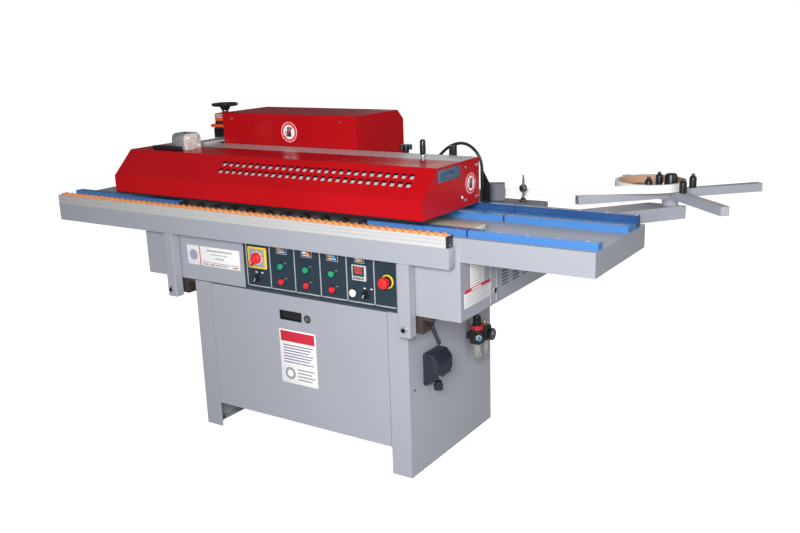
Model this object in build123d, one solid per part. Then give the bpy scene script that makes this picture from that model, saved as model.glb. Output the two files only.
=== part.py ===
from build123d import *
import os
from math import cos, radians, sin, tan

# Edge banding machine, millimetres. +X runs along the machine towards the infeed
# end, +Y from the operator's side to the back, +Z up. The origin lies on the
# floor under the centre of the base cabinet.

# ---- Driving dimensions -------------------------------------------------------
table_height = 880.0        # working height, floor to table surface
base_length = 977.0
base_depth = 590.0
sheet = 3.0                 # painted sheet steel
base_flange = 80.0          # front and rear flange of a base side
foot_flange = 40.0          # inward flange that stands on the floor
foot_hole_d = 14.0
foot_hole_inset = 60.0
door_floor_gap = 102.0
door_gap = 2.0
underlay = 4.0              # black board between base and upper cabinet
underlay_inset = 2.0

cabinet_overhang_left = 251.5
cabinet_overhang_right = 205.0
cabinet_height = 270.0
cabinet_front_step = 3.0    # cabinet front stands proud of the base front
cabinet_depth = 670.0
table_plate = 8.0

extension_length = 445.0    # infeed table beyond the cabinet
outfeed_length = 455.0      # outfeed table beyond the cabinet
extension_depth = 434.0
extension_skirt = 78.0

rail_width = 35.0
rail_height = 22.0
rail_front_gap = 22.0
rail_gap = 0.6
rail_end_inset = 2.0
mid_rail_y = -22.0
second_rail_width = 41.0
second_rail_height = 20.0
fence_y = 63.0
fence_thickness = 27.0
fence_height = 40.0
fence_start = 200.0

track_count = 11
track_pitch = 85.3
track_first_x = -545.0
track_roller_d = 40.0
track_roller_width = 20.0
track_roller_rise = 18.5    # roller top above the table
track_axle_d = 10.0
track_slot_play = 3.0

# workpiece support that pulls out in front of the table
support_overhang_left = 464.5
support_inset_right = 15.0
support_width = 39.0
support_box_height = 68.0
support_drop = 95.0         # underside of the box below the table
support_gap = 4.0           # box to cabinet front
profile_height = 37.0
profile_wall = 5.0
profile_inset_right = 10.0
support_roller_d = 23.0
support_roller_pitch = 31.0
support_roller_rise = 8.0   # roller top above the profile
support_axle_d = 6.0
arm_width = 44.0
arm_depth = 40.0
arm_length = 250.0
arm_right_out = 17.0        # arm centre beyond the base side
arm_left_out = 82.5
bar_d = 22.0
bar_length = 470.0
bar_above_arm_end = 27.0
block_length = 70.0
block_height = 62.0
block_bar_side = 16.0       # bar axis to the narrow side of its clamp block
block_wide_side = 43.0      # bar axis to the wide side
block_flange = 38.0
block_flange_thickness = 14.0
running_clearance = 0.05    # radial, shafts in bores

# pressure beam with its hood
hood_left = -842.0
hood_length = 1425.0
hood_front_y = -335.0
hood_clearance = 49.5       # hood underside above the table
hood_band = 63.5            # upright front band
hood_height = 155.0
hood_slope_run = 94.0
beam_front_y = -79.0
beam_back_y = 40.6
beam_wall = 4.0
beam_bottom_gap = 12.0
vent_size = 21.0
vent_pitch = 31.3
vent_columns = 27
vent_first_x = -309.0
vent_rows = (60.5, 93.0)    # row centres, measured up the slope
louvre_width = 7.0
louvre_length = 80.0
louvre_pitch = 28.1
louvre_count = 32
louvre_first_x = -368.0
louvre_y = -150.0
end_window = (-159.0, 152.0, 42.0)   # centre y, width, height in the end plate
end_window_drop = 29.5      # window centre below the hood top

# height adjustment
spindle_x = -688.0
spindle_y = 153.0
spindle_d = 16.0
column_width = 90.0
column_depth = 60.0
column_wall = 5.0
column_height = 255.0
rear_post_x = 445.0
rear_post_y = 104.0
rear_post_width = 22.0
rear_post_depth = 22.0
rear_post_height = 229.0
bracket_thickness = 10.0
bracket_left = -705.0
bracket_right = -645.0
nut_d = 34.0
nut_height = 36.0
handwheel_d = 112.0
handwheel_rim = 13.0
handwheel_above_column = 96.0
collar_height = 13.0
indicator_size = (68.0, 44.0, 50.0)

# rear hood over the trimming units
rear_hood_left = -608.0
rear_hood_length = 674.0
rear_hood_front_y = 50.6
rear_hood_depth = 320.0
rear_hood_height = 326.0
rear_hood_lift = 2.0
rear_hood_chamfer = (40.0, 38.0)
spigot_d = 100.0
spigot_length = 60.0
spigot_wall = 2.0

# tape reel
tape_height = 30.0
tape_gauge = 1.0
reel_x = 1062.0
reel_y = 657.0
reel_top_rise = 25.0        # spider top above the table
spider_tube = 32.0
spider_length = 373.0
spider_turn = 45.0
pin_circle_r = 90.0
pin_d = 27.0
pin_height = 52.0
hub_d = 50.0
hub_height = 60.0
reel_axle_d = 20.0
reel_beam_drop = 35.0       # beam top below the table
reel_beam_height = 50.0
bearing_d = 97.0
bearing_flange = 8.0
coil_r = 131.0
coil_thickness = 14.0
coil_offset = -77.0
tape_turn = 28.5            # direction of the tape run in plan, degrees
tape_run_length = 646.0

# control panel
panel_left = -220.0
panel_length = 672.0
panel_thickness = 2.0
panel_bottom_gap = 1.5
panel_height = 186.5
column_pitch = 114.4
green_drop = 175.5          # button rows below the table
red_drop = 232.0
first_button_x = -43.0
button_d = 22.0
button_clearance = 0.2
bezel_d = 29.5
bezel_thickness = 4.0
button_rise = 5.0
switch_center = (-152.0, 155.0)
switch_plate = (88.0, 80.0)
selector_left_x = -156.0
selector_right_x = 329.0
white_button_x = 275.0
controller_center = (305.0, 157.0)
controller_face = (58.0, 54.0)
controller_body = (45.0, 45.0, 80.0)
estop_center = (418.0, 174.5)
estop_ring_d = 48.0
estop_head_d = 40.0

# services on the right side of the base
inlet_y = -155.0
inlet_size = (61.0, 106.0, 118.0)
inlet_drop = 223.0          # centre below the base top
gland_d = 32.0
gland_bore_d = 18.0
gland_length = 26.0
air_y = 122.0
air_x_offset = 36.0
air_body_drop = 193.5
air_pitch = 56.0
air_body = 44.0
bowl_d = 38.0
bowl_height = 64.0
air_port_d = 8.1
air_port_reach = 44.0       # port mouth from the regulator's axis
air_port_depth = 20.0
air_port_turn = 40.0        # port turned from the front towards the right

# ---- Derived levels and edges ---------------------------------------------------
cabinet_top = table_height - table_plate
cabinet_bottom = cabinet_top - cabinet_height
base_height = cabinet_bottom - underlay
base_x = base_length / 2
base_y = base_depth / 2
cabinet_left = -base_x - cabinet_overhang_left
cabinet_right = base_x + cabinet_overhang_right
arm_left_x = -base_x - arm_left_out
arm_right_x = base_x + arm_right_out
cabinet_front = -base_y - cabinet_front_step
cabinet_back = cabinet_front + cabinet_depth
infeed_end = cabinet_right + extension_length
outfeed_end = cabinet_left - outfeed_length
rail_front = cabinet_front + rail_front_gap
rail_left_end = track_first_x - track_roller_d / 2
rail_right_start = track_first_x + track_pitch * (track_count - 1) + track_roller_d / 2
support_back = cabinet_front - support_gap
support_front = support_back - support_width
support_bottom = table_height - support_drop
profile_bottom = support_bottom + support_box_height
profile_top = profile_bottom + profile_height
support_left = cabinet_left - support_overhang_left
support_right = cabinet_right - support_inset_right
arm_bottom = support_bottom - arm_length
bar_z = arm_bottom + bar_above_arm_end
hood_right = hood_left + hood_length
hood_bottom = table_height + hood_clearance
hood_top = hood_bottom + hood_height
knee_z = hood_bottom + hood_band
slope_top_y = hood_front_y + hood_slope_run
beam_bottom = hood_bottom + beam_bottom_gap
column_top = table_height + column_height
handwheel_z = column_top + handwheel_above_column
rear_hood_right = rear_hood_left + rear_hood_length
rear_hood_bottom = table_height + rear_hood_lift
rear_hood_top = rear_hood_bottom + rear_hood_height
rear_hood_back = rear_hood_front_y + rear_hood_depth
reel_top = table_height + reel_top_rise
spider_bottom = reel_top - spider_tube
reel_beam_top = table_height - reel_beam_drop
panel_face = cabinet_front - panel_thickness
bezel_face = panel_face - bezel_thickness

MIN = Align.MIN
MID = Align.CENTER
nodes = {}


def block(x0, x1, y0, y1, z0, z1):
    """Box between two opposite corners."""
    return Pos(x0, y0, z0) * Box(x1 - x0, y1 - y0, z1 - z0, align=(MIN, MIN, MIN))


def disc_z(x, y, z0, z1, diameter):
    """Upright cylinder."""
    return Pos(x, y, z0) * Cylinder(diameter / 2, z1 - z0, align=(MID, MID, MIN))


def disc_y(x, z, y0, y1, diameter):
    """Cylinder along Y from y0 to y1."""
    return Pos(x, y0, z) * Rot(-90, 0, 0) * Cylinder(diameter / 2, y1 - y0, align=(MID, MID, MIN))


def disc_x(y, z, x0, x1, diameter):
    """Cylinder along X from x0 to x1."""
    return Pos(x0, y, z) * Rot(0, 90, 0) * Cylinder(diameter / 2, x1 - x0, align=(MID, MID, MIN))


def prism_z(points, z0, z1):
    """Upright prism over a plan outline."""
    return Pos(0, 0, z0) * extrude(make_face(Polyline(*points, close=True)), z1 - z0)


def prism_x(points, x0, x1):
    """Prism along X over an outline given as (y, z)."""
    outline = make_face(Plane.YZ * Polyline(*points, close=True))
    return Pos(x0, 0, 0) * extrude(outline, x1 - x0, dir=(1, 0, 0))


def upright_edges(shape, radius):
    """Round the upright edges of a shape."""
    return fillet(shape.edges().filter_by(Axis.Z), radius)


# ---- Base cabinet ---------------------------------------------------------------
def base_side(direction):
    """One base side: sheet with front and rear flanges and a foot flange."""
    outer = direction * base_x
    inner = outer - direction * sheet
    flange = outer - direction * base_flange
    foot = outer - direction * foot_flange
    parts = block(min(outer, inner), max(outer, inner), -base_y, base_y, 0, base_height)
    for front in (-base_y, base_y - sheet):
        parts += block(min(inner, flange), max(inner, flange), front, front + sheet, 0, base_height)
    parts += block(min(inner, foot), max(inner, foot), -base_y + sheet, base_y - sheet, 0, sheet)
    hole_x = outer - direction * (foot_flange / 2 + sheet)
    for y in (-base_y + foot_hole_inset, base_y - foot_hole_inset):
        parts -= disc_z(hole_x, y, -1, sheet + 1, foot_hole_d)
    return parts


nodes["base_right_side"] = base_side(1)
nodes["base_left_side"] = base_side(-1)

back_x = base_x - base_flange
shelf_z = door_floor_gap
back_panel = block(-back_x, back_x, base_y - sheet, base_y, shelf_z, base_height)
back_panel += block(-base_x + sheet, base_x - sheet, -base_y + 4 * sheet, base_y - sheet,
                    shelf_z, shelf_z + sheet)
nodes["base_back_panel"] = back_panel

door_left = -back_x + door_gap
door_right = back_x - door_gap
door_top = base_height - door_gap
door_bottom = door_floor_gap
door_return = 12.0
door = block(door_left, door_right, -base_y, -base_y + sheet, door_bottom, door_top)
for x in (door_left, door_right - sheet):
    door += block(x, x + sheet, -base_y + sheet, -base_y + door_return - sheet, door_bottom + sheet, door_top)
pull_width = 106.0
pull_height = 40.0
pull_depth = 9.0
pull_x = -17.0
pull_z = base_height - 78.0
pull_box = block(pull_x - pull_width / 2, pull_x + pull_width / 2, -base_y, -base_y + pull_depth,
                 pull_z - pull_height / 2, pull_z + pull_height / 2)
pull_well = block(pull_x - pull_width / 2 + sheet, pull_x + pull_width / 2 - sheet, -base_y - 1,
                  -base_y + pull_depth - sheet, pull_z - pull_height / 2 + sheet,
                  pull_z + pull_height / 2 - sheet)
lock_x = 63.0
lock_d = 26.0
door = (door + pull_box) - pull_well
door += disc_y(lock_x, pull_z, -base_y - 3, -base_y, lock_d)
hinge_pin_d = 8.0
nodes["front_door"] = door

nodes["cabinet_underlay"] = block(-base_x + underlay_inset, base_x - underlay_inset, -base_y + underlay_inset,
                                  base_y - underlay_inset, base_height, cabinet_bottom)

# ---- Upper cabinet and tables -----------------------------------------------------
shell = block(cabinet_left, cabinet_right, cabinet_front, cabinet_back, cabinet_bottom, cabinet_top)
shell = fillet(shell.edges().filter_by(Axis.Z).sort_by(Axis.Y)[:2], 2.5)
shell -= block(cabinet_left + sheet, cabinet_right - sheet, cabinet_front + sheet,
               cabinet_back - sheet, cabinet_bottom + sheet, cabinet_top + 1)
side_door_front = -96.0
side_door_back = cabinet_back - 22.0
side_door_bottom = cabinet_bottom + 10.0
side_door_top = table_height - extension_skirt - 12.0
side_door_lap = 20.0
shell -= block(cabinet_right - 2 * sheet, cabinet_right + 1, side_door_front + side_door_lap,
               side_door_back - side_door_lap, side_door_bottom + side_door_lap,
               side_door_top - side_door_lap)

button_columns = [first_button_x + column_pitch * n for n in range(3)]
green_z = table_height - green_drop
red_z = table_height - red_drop
estop_x = estop_center[0]
estop_z = table_height - estop_center[1]
switch_x = switch_center[0]
switch_z = table_height - switch_center[1]
round_places = [(x, z) for x in button_columns for z in (green_z, red_z)]
round_places += [(selector_left_x, red_z), (selector_right_x, red_z), (white_button_x, red_z),
                 (estop_x, estop_z)]
hole_d = button_d + 2 * button_clearance
panel = block(panel_left, panel_left + panel_length, panel_face, cabinet_front,
              cabinet_bottom + panel_bottom_gap, cabinet_bottom + panel_bottom_gap + panel_height)
switch_shaft_d = 12.0
controller_x = controller_center[0]
controller_z = table_height - controller_center[1]
controller_hole = block(controller_x - controller_body[0] / 2 - 0.5, controller_x + controller_body[0] / 2 + 0.5,
                        panel_face - 1, cabinet_front + sheet + 1,
                        controller_z - controller_body[1] / 2 - 0.5, controller_z + controller_body[1] / 2 + 0.5)
for x, z in round_places:
    bore = disc_y(x, z, panel_face - 1, cabinet_front + sheet + 1, hole_d)
    panel -= bore
    shell -= bore
shaft_bore = disc_y(switch_x, switch_z, panel_face - bezel_thickness - 1, cabinet_front + sheet + 1,
                    switch_shaft_d + 2 * running_clearance)
panel = panel - controller_hole - shaft_bore
shell = shell - controller_hole - shaft_bore
nodes["cabinet_shell"] = shell
nodes["control_panel"] = panel

side_door = block(cabinet_right, cabinet_right + sheet, side_door_front, side_door_back,
                  side_door_bottom, side_door_top)
slot_rows = 6
slot_row_pitch = 12.0
slot_length = 53.0
slot_width = 5.0
for first_y in (-14.0, 70.0, 154.0):
    for row in range(slot_rows):
        z = cabinet_bottom + 52.0 + row * slot_row_pitch
        side_door -= block(cabinet_right - 1, cabinet_right + sheet + 1, first_y, first_y + slot_length,
                           z, z + slot_width)
side_door += disc_x(side_door_front + 28, cabinet_bottom + 50, cabinet_right + sheet,
                    cabinet_right + sheet + 3, 20.0)
nodes["cabinet_side_door"] = side_door

table = block(cabinet_left, cabinet_right, cabinet_front, cabinet_back, cabinet_top, table_height)
track_y = rail_front + track_roller_width / 2
track_z = table_height + track_roller_rise - track_roller_d / 2
track_axle_length = track_roller_width + 24.0
rollers = []
for n in range(track_count):
    x = track_first_x + n * track_pitch
    half_slot = track_roller_d / 2 + track_slot_play
    side = track_roller_width / 2 + track_slot_play
    table -= block(x - half_slot, x + half_slot, track_y - side, track_y + side, cabinet_top - 1,
                   table_height + 1)
    notch = track_axle_d / 2 + running_clearance
    half_axle = track_axle_length / 2
    table -= block(x - notch, x + notch, track_y - side, track_y + half_axle + 1,
                   cabinet_top - 1, table_height + 1)
    roller = disc_y(x, track_z, track_y - track_roller_width / 2, track_y + track_roller_width / 2,
                    track_roller_d)
    roller = fillet(roller.edges(), 2.0)
    roller += disc_y(x, track_z, track_y - track_roller_width / 2 - 2, track_y + half_axle, track_axle_d)
    rollers.append(roller)
nodes["track_rollers"] = Compound(rollers)
nodes["table_top"] = table


def side_table(x0, x1):
    """Folded table open underneath, with its skirt all round."""
    body = block(x0, x1, cabinet_front, cabinet_front + extension_depth,
                 table_height - extension_skirt, table_height)
    body = fillet(body.edges().filter_by(Axis.X).sort_by(Axis.Z)[-2:], 2.0)
    return body - block(x0 + sheet, x1 - sheet, cabinet_front + sheet,
                        cabinet_front + extension_depth - sheet, table_height - extension_skirt - 1,
                        table_height - sheet)


nodes["extension_table"] = side_table(cabinet_right, infeed_end)
nodes["outfeed_table"] = side_table(outfeed_end, cabinet_left)


def rail(x0, x1, y0, width, height):
    """Bar screwed on the table, with eased top edges."""
    bar = block(x0, x1, y0, y0 + width, table_height, table_height + height)
    return chamfer(bar.edges().filter_by(Axis.X).sort_by(Axis.Z)[-2:], 1.0)


rail_joint = cabinet_right
lead_in = 24.0
outfeed_rail = rail(outfeed_end + lead_in, rail_left_end, rail_front, rail_width, rail_height)
outfeed_rail = chamfer(outfeed_rail.edges().filter_by(Axis.Y).sort_by(Axis.X)[-4:].sort_by(Axis.Z)[-1:], 2.0)
rails = [outfeed_rail,
         rail(rail_right_start, rail_joint - rail_gap, rail_front, rail_width, rail_height),
         rail(rail_joint, infeed_end - rail_end_inset, rail_front, rail_width, rail_height)]
second_rail_y = mid_rail_y + rail_width + rail_gap
for x0, x1 in ((fence_start, rail_joint - rail_gap), (rail_joint, infeed_end - rail_end_inset)):
    rails.append(rail(x0, x1, mid_rail_y, rail_width, rail_height))
    rails.append(rail(x0, x1, second_rail_y, second_rail_width, second_rail_height))
nodes["guide_rails"] = Compound(rails)
fences = [rail(fence_start, rail_joint - rail_gap, fence_y, fence_thickness, fence_height),
          rail(rail_joint, infeed_end - rail_end_inset, fence_y, fence_thickness, fence_height)]
nodes["infeed_fence"] = Compound(fences)

# ---- Pull-out workpiece support --------------------------------------------------
beam_box = block(support_left, support_right, support_front, support_back, support_bottom, profile_bottom)
beam_box = fillet(beam_box.edges().filter_by(Axis.X), 2.0)
beam_box -= block(support_left - 1, support_right + 1, support_front + sheet, support_back - sheet,
                  support_bottom + sheet, profile_bottom - sheet)
nodes["support_beam"] = beam_box
profile_right = support_right - profile_inset_right
profile = block(support_left, profile_right, support_front, support_back, profile_bottom, profile_top)
profile -= block(support_left - 1, profile_right + 1, support_front + profile_wall,
                 support_back - profile_wall, profile_bottom + profile_wall, profile_top + 1)
groove = 4.0
for z in (profile_bottom + 11.0, profile_bottom + 24.0):
    profile -= block(support_left - 1, profile_right + 1, support_front - 1, support_front + 1.5, z, z + groove)
support_roller_z = profile_top + support_roller_rise - support_roller_d / 2
roller_space = profile_right - support_left
support_roller_count = int(roller_space // support_roller_pitch)
first_roller = support_left + (roller_space - support_roller_pitch * (support_roller_count - 1)) / 2
wall_play = 1.0
support_rollers = []
for n in range(support_roller_count):
    x = first_roller + n * support_roller_pitch
    wheel = disc_y(x, support_roller_z, support_front + profile_wall + wall_play,
                   support_back - profile_wall - wall_play, support_roller_d)
    wheel += disc_y(x, support_roller_z, support_front + 1, support_back - 1, support_axle_d)
    support_rollers.append(wheel)
    profile -= disc_y(x, support_roller_z, support_front - 1, support_back + 1,
                      support_axle_d + 2 * running_clearance)
nodes["support_rollers"] = Compound(support_rollers)
nodes["roller_profile"] = profile

arms = []
bars = []
blocks = []
arm_front = support_back - arm_depth
for x in (arm_left_x, arm_right_x):
    arm = block(x - arm_width / 2, x + arm_width / 2, arm_front, support_back, arm_bottom, support_bottom)
    arm = fillet(arm.edges().filter_by(Axis.Z), 3.0)
    arm -= block(x - arm_width / 2 + sheet, x + arm_width / 2 - sheet, arm_front + sheet,
                 support_back - sheet, arm_bottom + sheet, support_bottom + 1)
    arm -= disc_y(x, bar_z, arm_front - 1, support_back + 1, bar_d / 2)
    arms.append(arm)
    stud = disc_y(x, bar_z, arm_front - 1, support_back, bar_d / 2)
    head = disc_y(x, bar_z, arm_front - 8, arm_front, bar_d)
    bars.append(stud + head + disc_y(x, bar_z, support_back, support_back + bar_length, bar_d))
    block_y = cabinet_front + sheet
    body = block(x - block_bar_side, x + block_wide_side, block_y, block_y + block_length,
                 cabinet_bottom - block_height, cabinet_bottom)
    body += block(x + block_wide_side, x + block_wide_side + block_flange, block_y, block_y + block_length,
                  cabinet_bottom - block_flange_thickness, cabinet_bottom)
    body -= disc_y(x, bar_z, block_y - 1, block_y + block_length + 1, bar_d + 2 * running_clearance)
    blocks.append(body)
nodes["support_arms"] = Compound(arms)
nodes["slide_bars"] = Compound(bars)
nodes["clamp_blocks"] = Compound(blocks)

lever_y = cabinet_front + sheet + block_length / 2
lever_z = cabinet_bottom - 31.0
lever_hub_d = 22.0
lever_hub_length = 16.0
lever_length = 78.0
lever_lean = 25.0
lever_gap = 1.0


def clamp_lever(face_x, direction, back):
    """Clamp lever: hub on the block's side, grip leaning away from it."""
    start = face_x + direction * lever_gap
    end = start + direction * lever_hub_length
    hub = disc_x(lever_y, lever_z, min(start, end), max(start, end), lever_hub_d)
    grip = Cylinder(6.5, lever_length, align=(MID, MID, MIN))
    grip = fillet(grip.edges().sort_by(Axis.Z)[-1:], 5.0)
    turn = Rot(-90, 0, 0) if back else Rot(180, 0, 0)
    lean = Rot(0, 0, -direction * lever_lean) if back else Rot(0, -direction * lever_lean, 0)
    middle = (start + end) / 2
    return hub + Pos(middle, lever_y, lever_z) * lean * turn * grip


nodes["clamp_lever_right"] = clamp_lever(arm_right_x + block_wide_side, 1, False)
nodes["clamp_lever_left"] = clamp_lever(arm_left_x - block_bar_side, -1, True)

# ---- Pressure beam, hood and height adjustment ------------------------------------
outline = [(hood_front_y, hood_bottom), (hood_front_y, knee_z), (slope_top_y, hood_top),
           (beam_back_y, hood_top), (beam_back_y, hood_bottom)]
hood = prism_x(outline, hood_left, hood_right)
hood = fillet(hood.edges().filter_by(Axis.X).sort_by(Axis.Y)[:3], 3.0)
slope_angle = (hood_top - knee_z) / hood_slope_run
inner = [(hood_front_y + sheet, hood_bottom - 1), (hood_front_y + sheet, knee_z - 1.2),
         (slope_top_y + 1.3, hood_top - sheet), (beam_front_y, hood_top - sheet),
         (beam_front_y, hood_top + 1), (beam_back_y + 1, hood_top + 1), (beam_back_y + 1, hood_bottom - 1)]
hood -= prism_x(inner, hood_left + sheet, hood_right - sheet)
slope_length = ((hood_top - knee_z) ** 2 + hood_slope_run ** 2) ** 0.5
along_y = hood_slope_run / slope_length
along_z = (hood_top - knee_z) / slope_length
slope_turn = 90 - Vector(0, along_y, along_z).get_angle(Vector(0, 0, 1))
for place in vent_rows:
    center_y = hood_front_y + along_y * place
    center_z = knee_z + along_z * place
    for n in range(vent_columns):
        tool = Box(vent_size, vent_size, 12.0)
        x = vent_first_x + n * vent_pitch
        hood -= Pos(x, center_y, center_z) * Rot(slope_turn, 0, 0) * tool
for n in range(louvre_count):
    x = louvre_first_x + n * louvre_pitch
    hood -= block(x - louvre_width / 2, x + louvre_width / 2, louvre_y - louvre_length / 2,
                  louvre_y + louvre_length / 2, hood_top - 2 * sheet, hood_top + 1)
window_z = hood_top - end_window_drop
hood -= block(hood_right - 2 * sheet, hood_right + 1, end_window[0] - end_window[1] / 2,
              end_window[0] + end_window[1] / 2, window_z - end_window[2] / 2, window_z + end_window[2] / 2)
nodes["front_hood"] = hood

beam = block(hood_left + sheet, hood_right - sheet, beam_front_y, beam_back_y, beam_bottom, hood_top)
beam -= block(hood_left + sheet - 1, hood_right - sheet + 1, beam_front_y + beam_wall,
              beam_back_y - beam_wall, beam_bottom + beam_wall, hood_top - beam_wall)
lever_x = 403.0
lever_grip_y = -32.0
grip_slot = 16.0
grip_swing = 40.0
beam -= block(lever_x - grip_slot / 2, lever_x + grip_slot / 2, lever_grip_y - 10, lever_grip_y + grip_swing,
              hood_top - beam_wall - 1, hood_top + 1)

column = block(spindle_x - column_width / 2, spindle_x + column_width / 2, spindle_y - column_depth / 2,
               spindle_y + column_depth / 2, table_height, column_top)
column -= block(spindle_x - column_width / 2 + column_wall, spindle_x + column_width / 2 - column_wall,
                spindle_y - column_depth / 2 - 1, spindle_y + column_depth / 2 - column_wall,
                table_height + column_wall, column_top - column_wall)
column -= disc_z(spindle_x, spindle_y, column_top - 2 * column_wall, column_top + 1,
                 spindle_d + 2 * running_clearance)
post = block(rear_post_x - rear_post_width / 2, rear_post_x + rear_post_width / 2,
             rear_post_y - rear_post_depth / 2, rear_post_y + rear_post_depth / 2,
             table_height, table_height + rear_post_height)
nodes["guide_columns"] = Compound([column, upright_edges(post, 2.0)])

tongue = column_width / 2 - column_wall - 1
bracket = block(bracket_left, bracket_right, beam_front_y + 60, spindle_y - column_depth / 2 - 3, hood_top,
                hood_top + bracket_thickness)
bracket += block(spindle_x - tongue, spindle_x + tongue, spindle_y - column_depth / 2 - 3,
                 spindle_y + column_depth / 2 - column_wall - 2, hood_top, hood_top + bracket_thickness)
bracket += disc_z(spindle_x, spindle_y, hood_top + bracket_thickness - nut_height, hood_top + bracket_thickness,
                  nut_d)
bracket -= disc_z(spindle_x, spindle_y, hood_top - nut_height, hood_top + bracket_thickness + 1,
                  spindle_d + 2 * running_clearance)
shoe_gap = 0.5
shoe_low = beam_bottom + 30.0
shoe_high = hood_top - 60.0
shoe = block(rear_post_x - rear_post_width / 2 - 12, rear_post_x + rear_post_width / 2 + 12, beam_back_y,
             rear_post_y + rear_post_depth / 2 - 6, shoe_low, shoe_high)
shoe -= block(rear_post_x - rear_post_width / 2 - shoe_gap, rear_post_x + rear_post_width / 2 + shoe_gap,
              rear_post_y - rear_post_depth / 2 - shoe_gap, rear_post_y + rear_post_depth / 2 + 1,
              shoe_low - 1, shoe_high + 1)
nodes["pressure_beam"] = Compound([beam, bracket, shoe])

spindle_foot = table_height + column_wall + 1
nodes["lift_spindle"] = disc_z(spindle_x, spindle_y, spindle_foot, handwheel_z - 20, spindle_d)
wheel_bore = disc_z(spindle_x, spindle_y, handwheel_z - 40, handwheel_z + 20, spindle_d)
rim_path = Pos(spindle_x, spindle_y, handwheel_z) * Torus(handwheel_d / 2 - handwheel_rim / 2, handwheel_rim / 2)
wheel_hub = disc_z(spindle_x, spindle_y, handwheel_z - 27, handwheel_z + 3, 38.0)
web = disc_z(spindle_x, spindle_y, handwheel_z - 5, handwheel_z + 3, handwheel_d - 1.6 * handwheel_rim)
for n in range(3):
    angle = radians(90 + 120 * n)
    web -= disc_z(spindle_x + 42 * cos(angle), spindle_y + 42 * sin(angle),
                  handwheel_z - 6, handwheel_z + 4, 22.0)
handwheel = rim_path + wheel_hub + web
nodes["handwheel"] = handwheel - disc_z(spindle_x, spindle_y, handwheel_z - 40, handwheel_z - 20, spindle_d)

indicator_bottom = column_top + 12.0
indicator_top = indicator_bottom + indicator_size[2]
indicator = block(spindle_x - indicator_size[0] + 22, spindle_x + 22, spindle_y - indicator_size[1] / 2,
                  spindle_y + indicator_size[1] / 2, indicator_bottom, indicator_top)
indicator = upright_edges(indicator, 8.0)
lug = block(spindle_x - indicator_size[0] - 4, spindle_x + column_width / 2 - 6, spindle_y - 24, spindle_y + 24,
            column_top, indicator_bottom)
indicator = upright_edges(lug, 8.0) + indicator
indicator -= disc_z(spindle_x, spindle_y, column_top - 1, indicator_top + 1, spindle_d + 2 * running_clearance)
nodes["position_indicator"] = indicator

grip_pivot_z = hood_top - beam_wall / 2
grip = disc_z(lever_x, lever_grip_y, hood_top + 12, hood_top + 62, 20.0)
grip = fillet(grip.edges().sort_by(Axis.Z)[-1:], 6.0)
stem = disc_z(lever_x, lever_grip_y, hood_top - 14, hood_top + 12, 10.0)
nodes["lever_grip"] = grip + stem

motor_x0 = -646.0
motor_x1 = -582.0
motor_y = -157.0
motor_r = 46.0
motor_axis_z = hood_top + 19.0
motor_cap_length = 7.0
motor_corner = 22.0


def scraper_motor_part(x0, x1, radius):
    """Square body with a rounded top along X on the hood."""
    body = block(x0, x1, motor_y - radius, motor_y + radius, hood_top, motor_axis_z + radius)
    return fillet(body.edges().filter_by(Axis.X).sort_by(Axis.Z)[-2:], motor_corner)


motor = scraper_motor_part(motor_x0, motor_x1, motor_r)
motor += scraper_motor_part(motor_x1, motor_x1 + motor_cap_length, motor_r - 3)
motor_bar = block(motor_x0 - 96, motor_x1 + 2, motor_y - motor_r - 19, motor_y - motor_r - 1,
                  hood_top, hood_top + 19)
motor_bar = fillet(motor_bar.edges().filter_by(Axis.X).sort_by(Axis.Z)[-2:], 7.0)
nodes["scraper_motor"] = Compound([motor, motor_bar])

# ---- Rear hood and the units inside ------------------------------------------------
run, fall = rear_hood_chamfer
outline = [(rear_hood_front_y, rear_hood_bottom), (rear_hood_front_y, rear_hood_top),
           (rear_hood_back - run, rear_hood_top), (rear_hood_back, rear_hood_top - fall),
           (rear_hood_back, rear_hood_bottom)]
rear = prism_x(outline, rear_hood_left, rear_hood_right)
rear = fillet(rear.edges().filter_by(Axis.X).sort_by(Axis.Z)[2:], 3.0)
inset = sheet * 0.75
inner = [(rear_hood_front_y + sheet, rear_hood_bottom - 1), (rear_hood_front_y + sheet, rear_hood_top - sheet),
         (rear_hood_back - run - inset, rear_hood_top - sheet),
         (rear_hood_back - sheet, rear_hood_top - fall - inset), (rear_hood_back - sheet, rear_hood_bottom - 1)]
rear -= prism_x(inner, rear_hood_left + sheet, rear_hood_right - sheet)
spigot_x = rear_hood_left + rear_hood_length / 2
spigot_z = rear_hood_bottom + 150.0
rear += disc_y(spigot_x, spigot_z, rear_hood_back - sheet, rear_hood_back + spigot_length, spigot_d)
rear -= disc_y(spigot_x, spigot_z, rear_hood_back - 2 * sheet, rear_hood_back + spigot_length + 1,
               spigot_d - 2 * spigot_wall)
nodes["rear_hood"] = rear

trim_units = []
for x, height in ((-450.0, 210.0), (-240.0, 180.0), (-60.0, 210.0)):
    foot = block(x - 55, x + 55, 120, 240, table_height, table_height + 30)
    motor_body = disc_z(x, 180, table_height + 30, table_height + height, 90.0)
    motor_body += disc_z(x, 180, table_height + height, table_height + height + 18, 60.0)
    trim_units.append(foot + motor_body)
nodes["trim_motors"] = Compound(trim_units)

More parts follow.
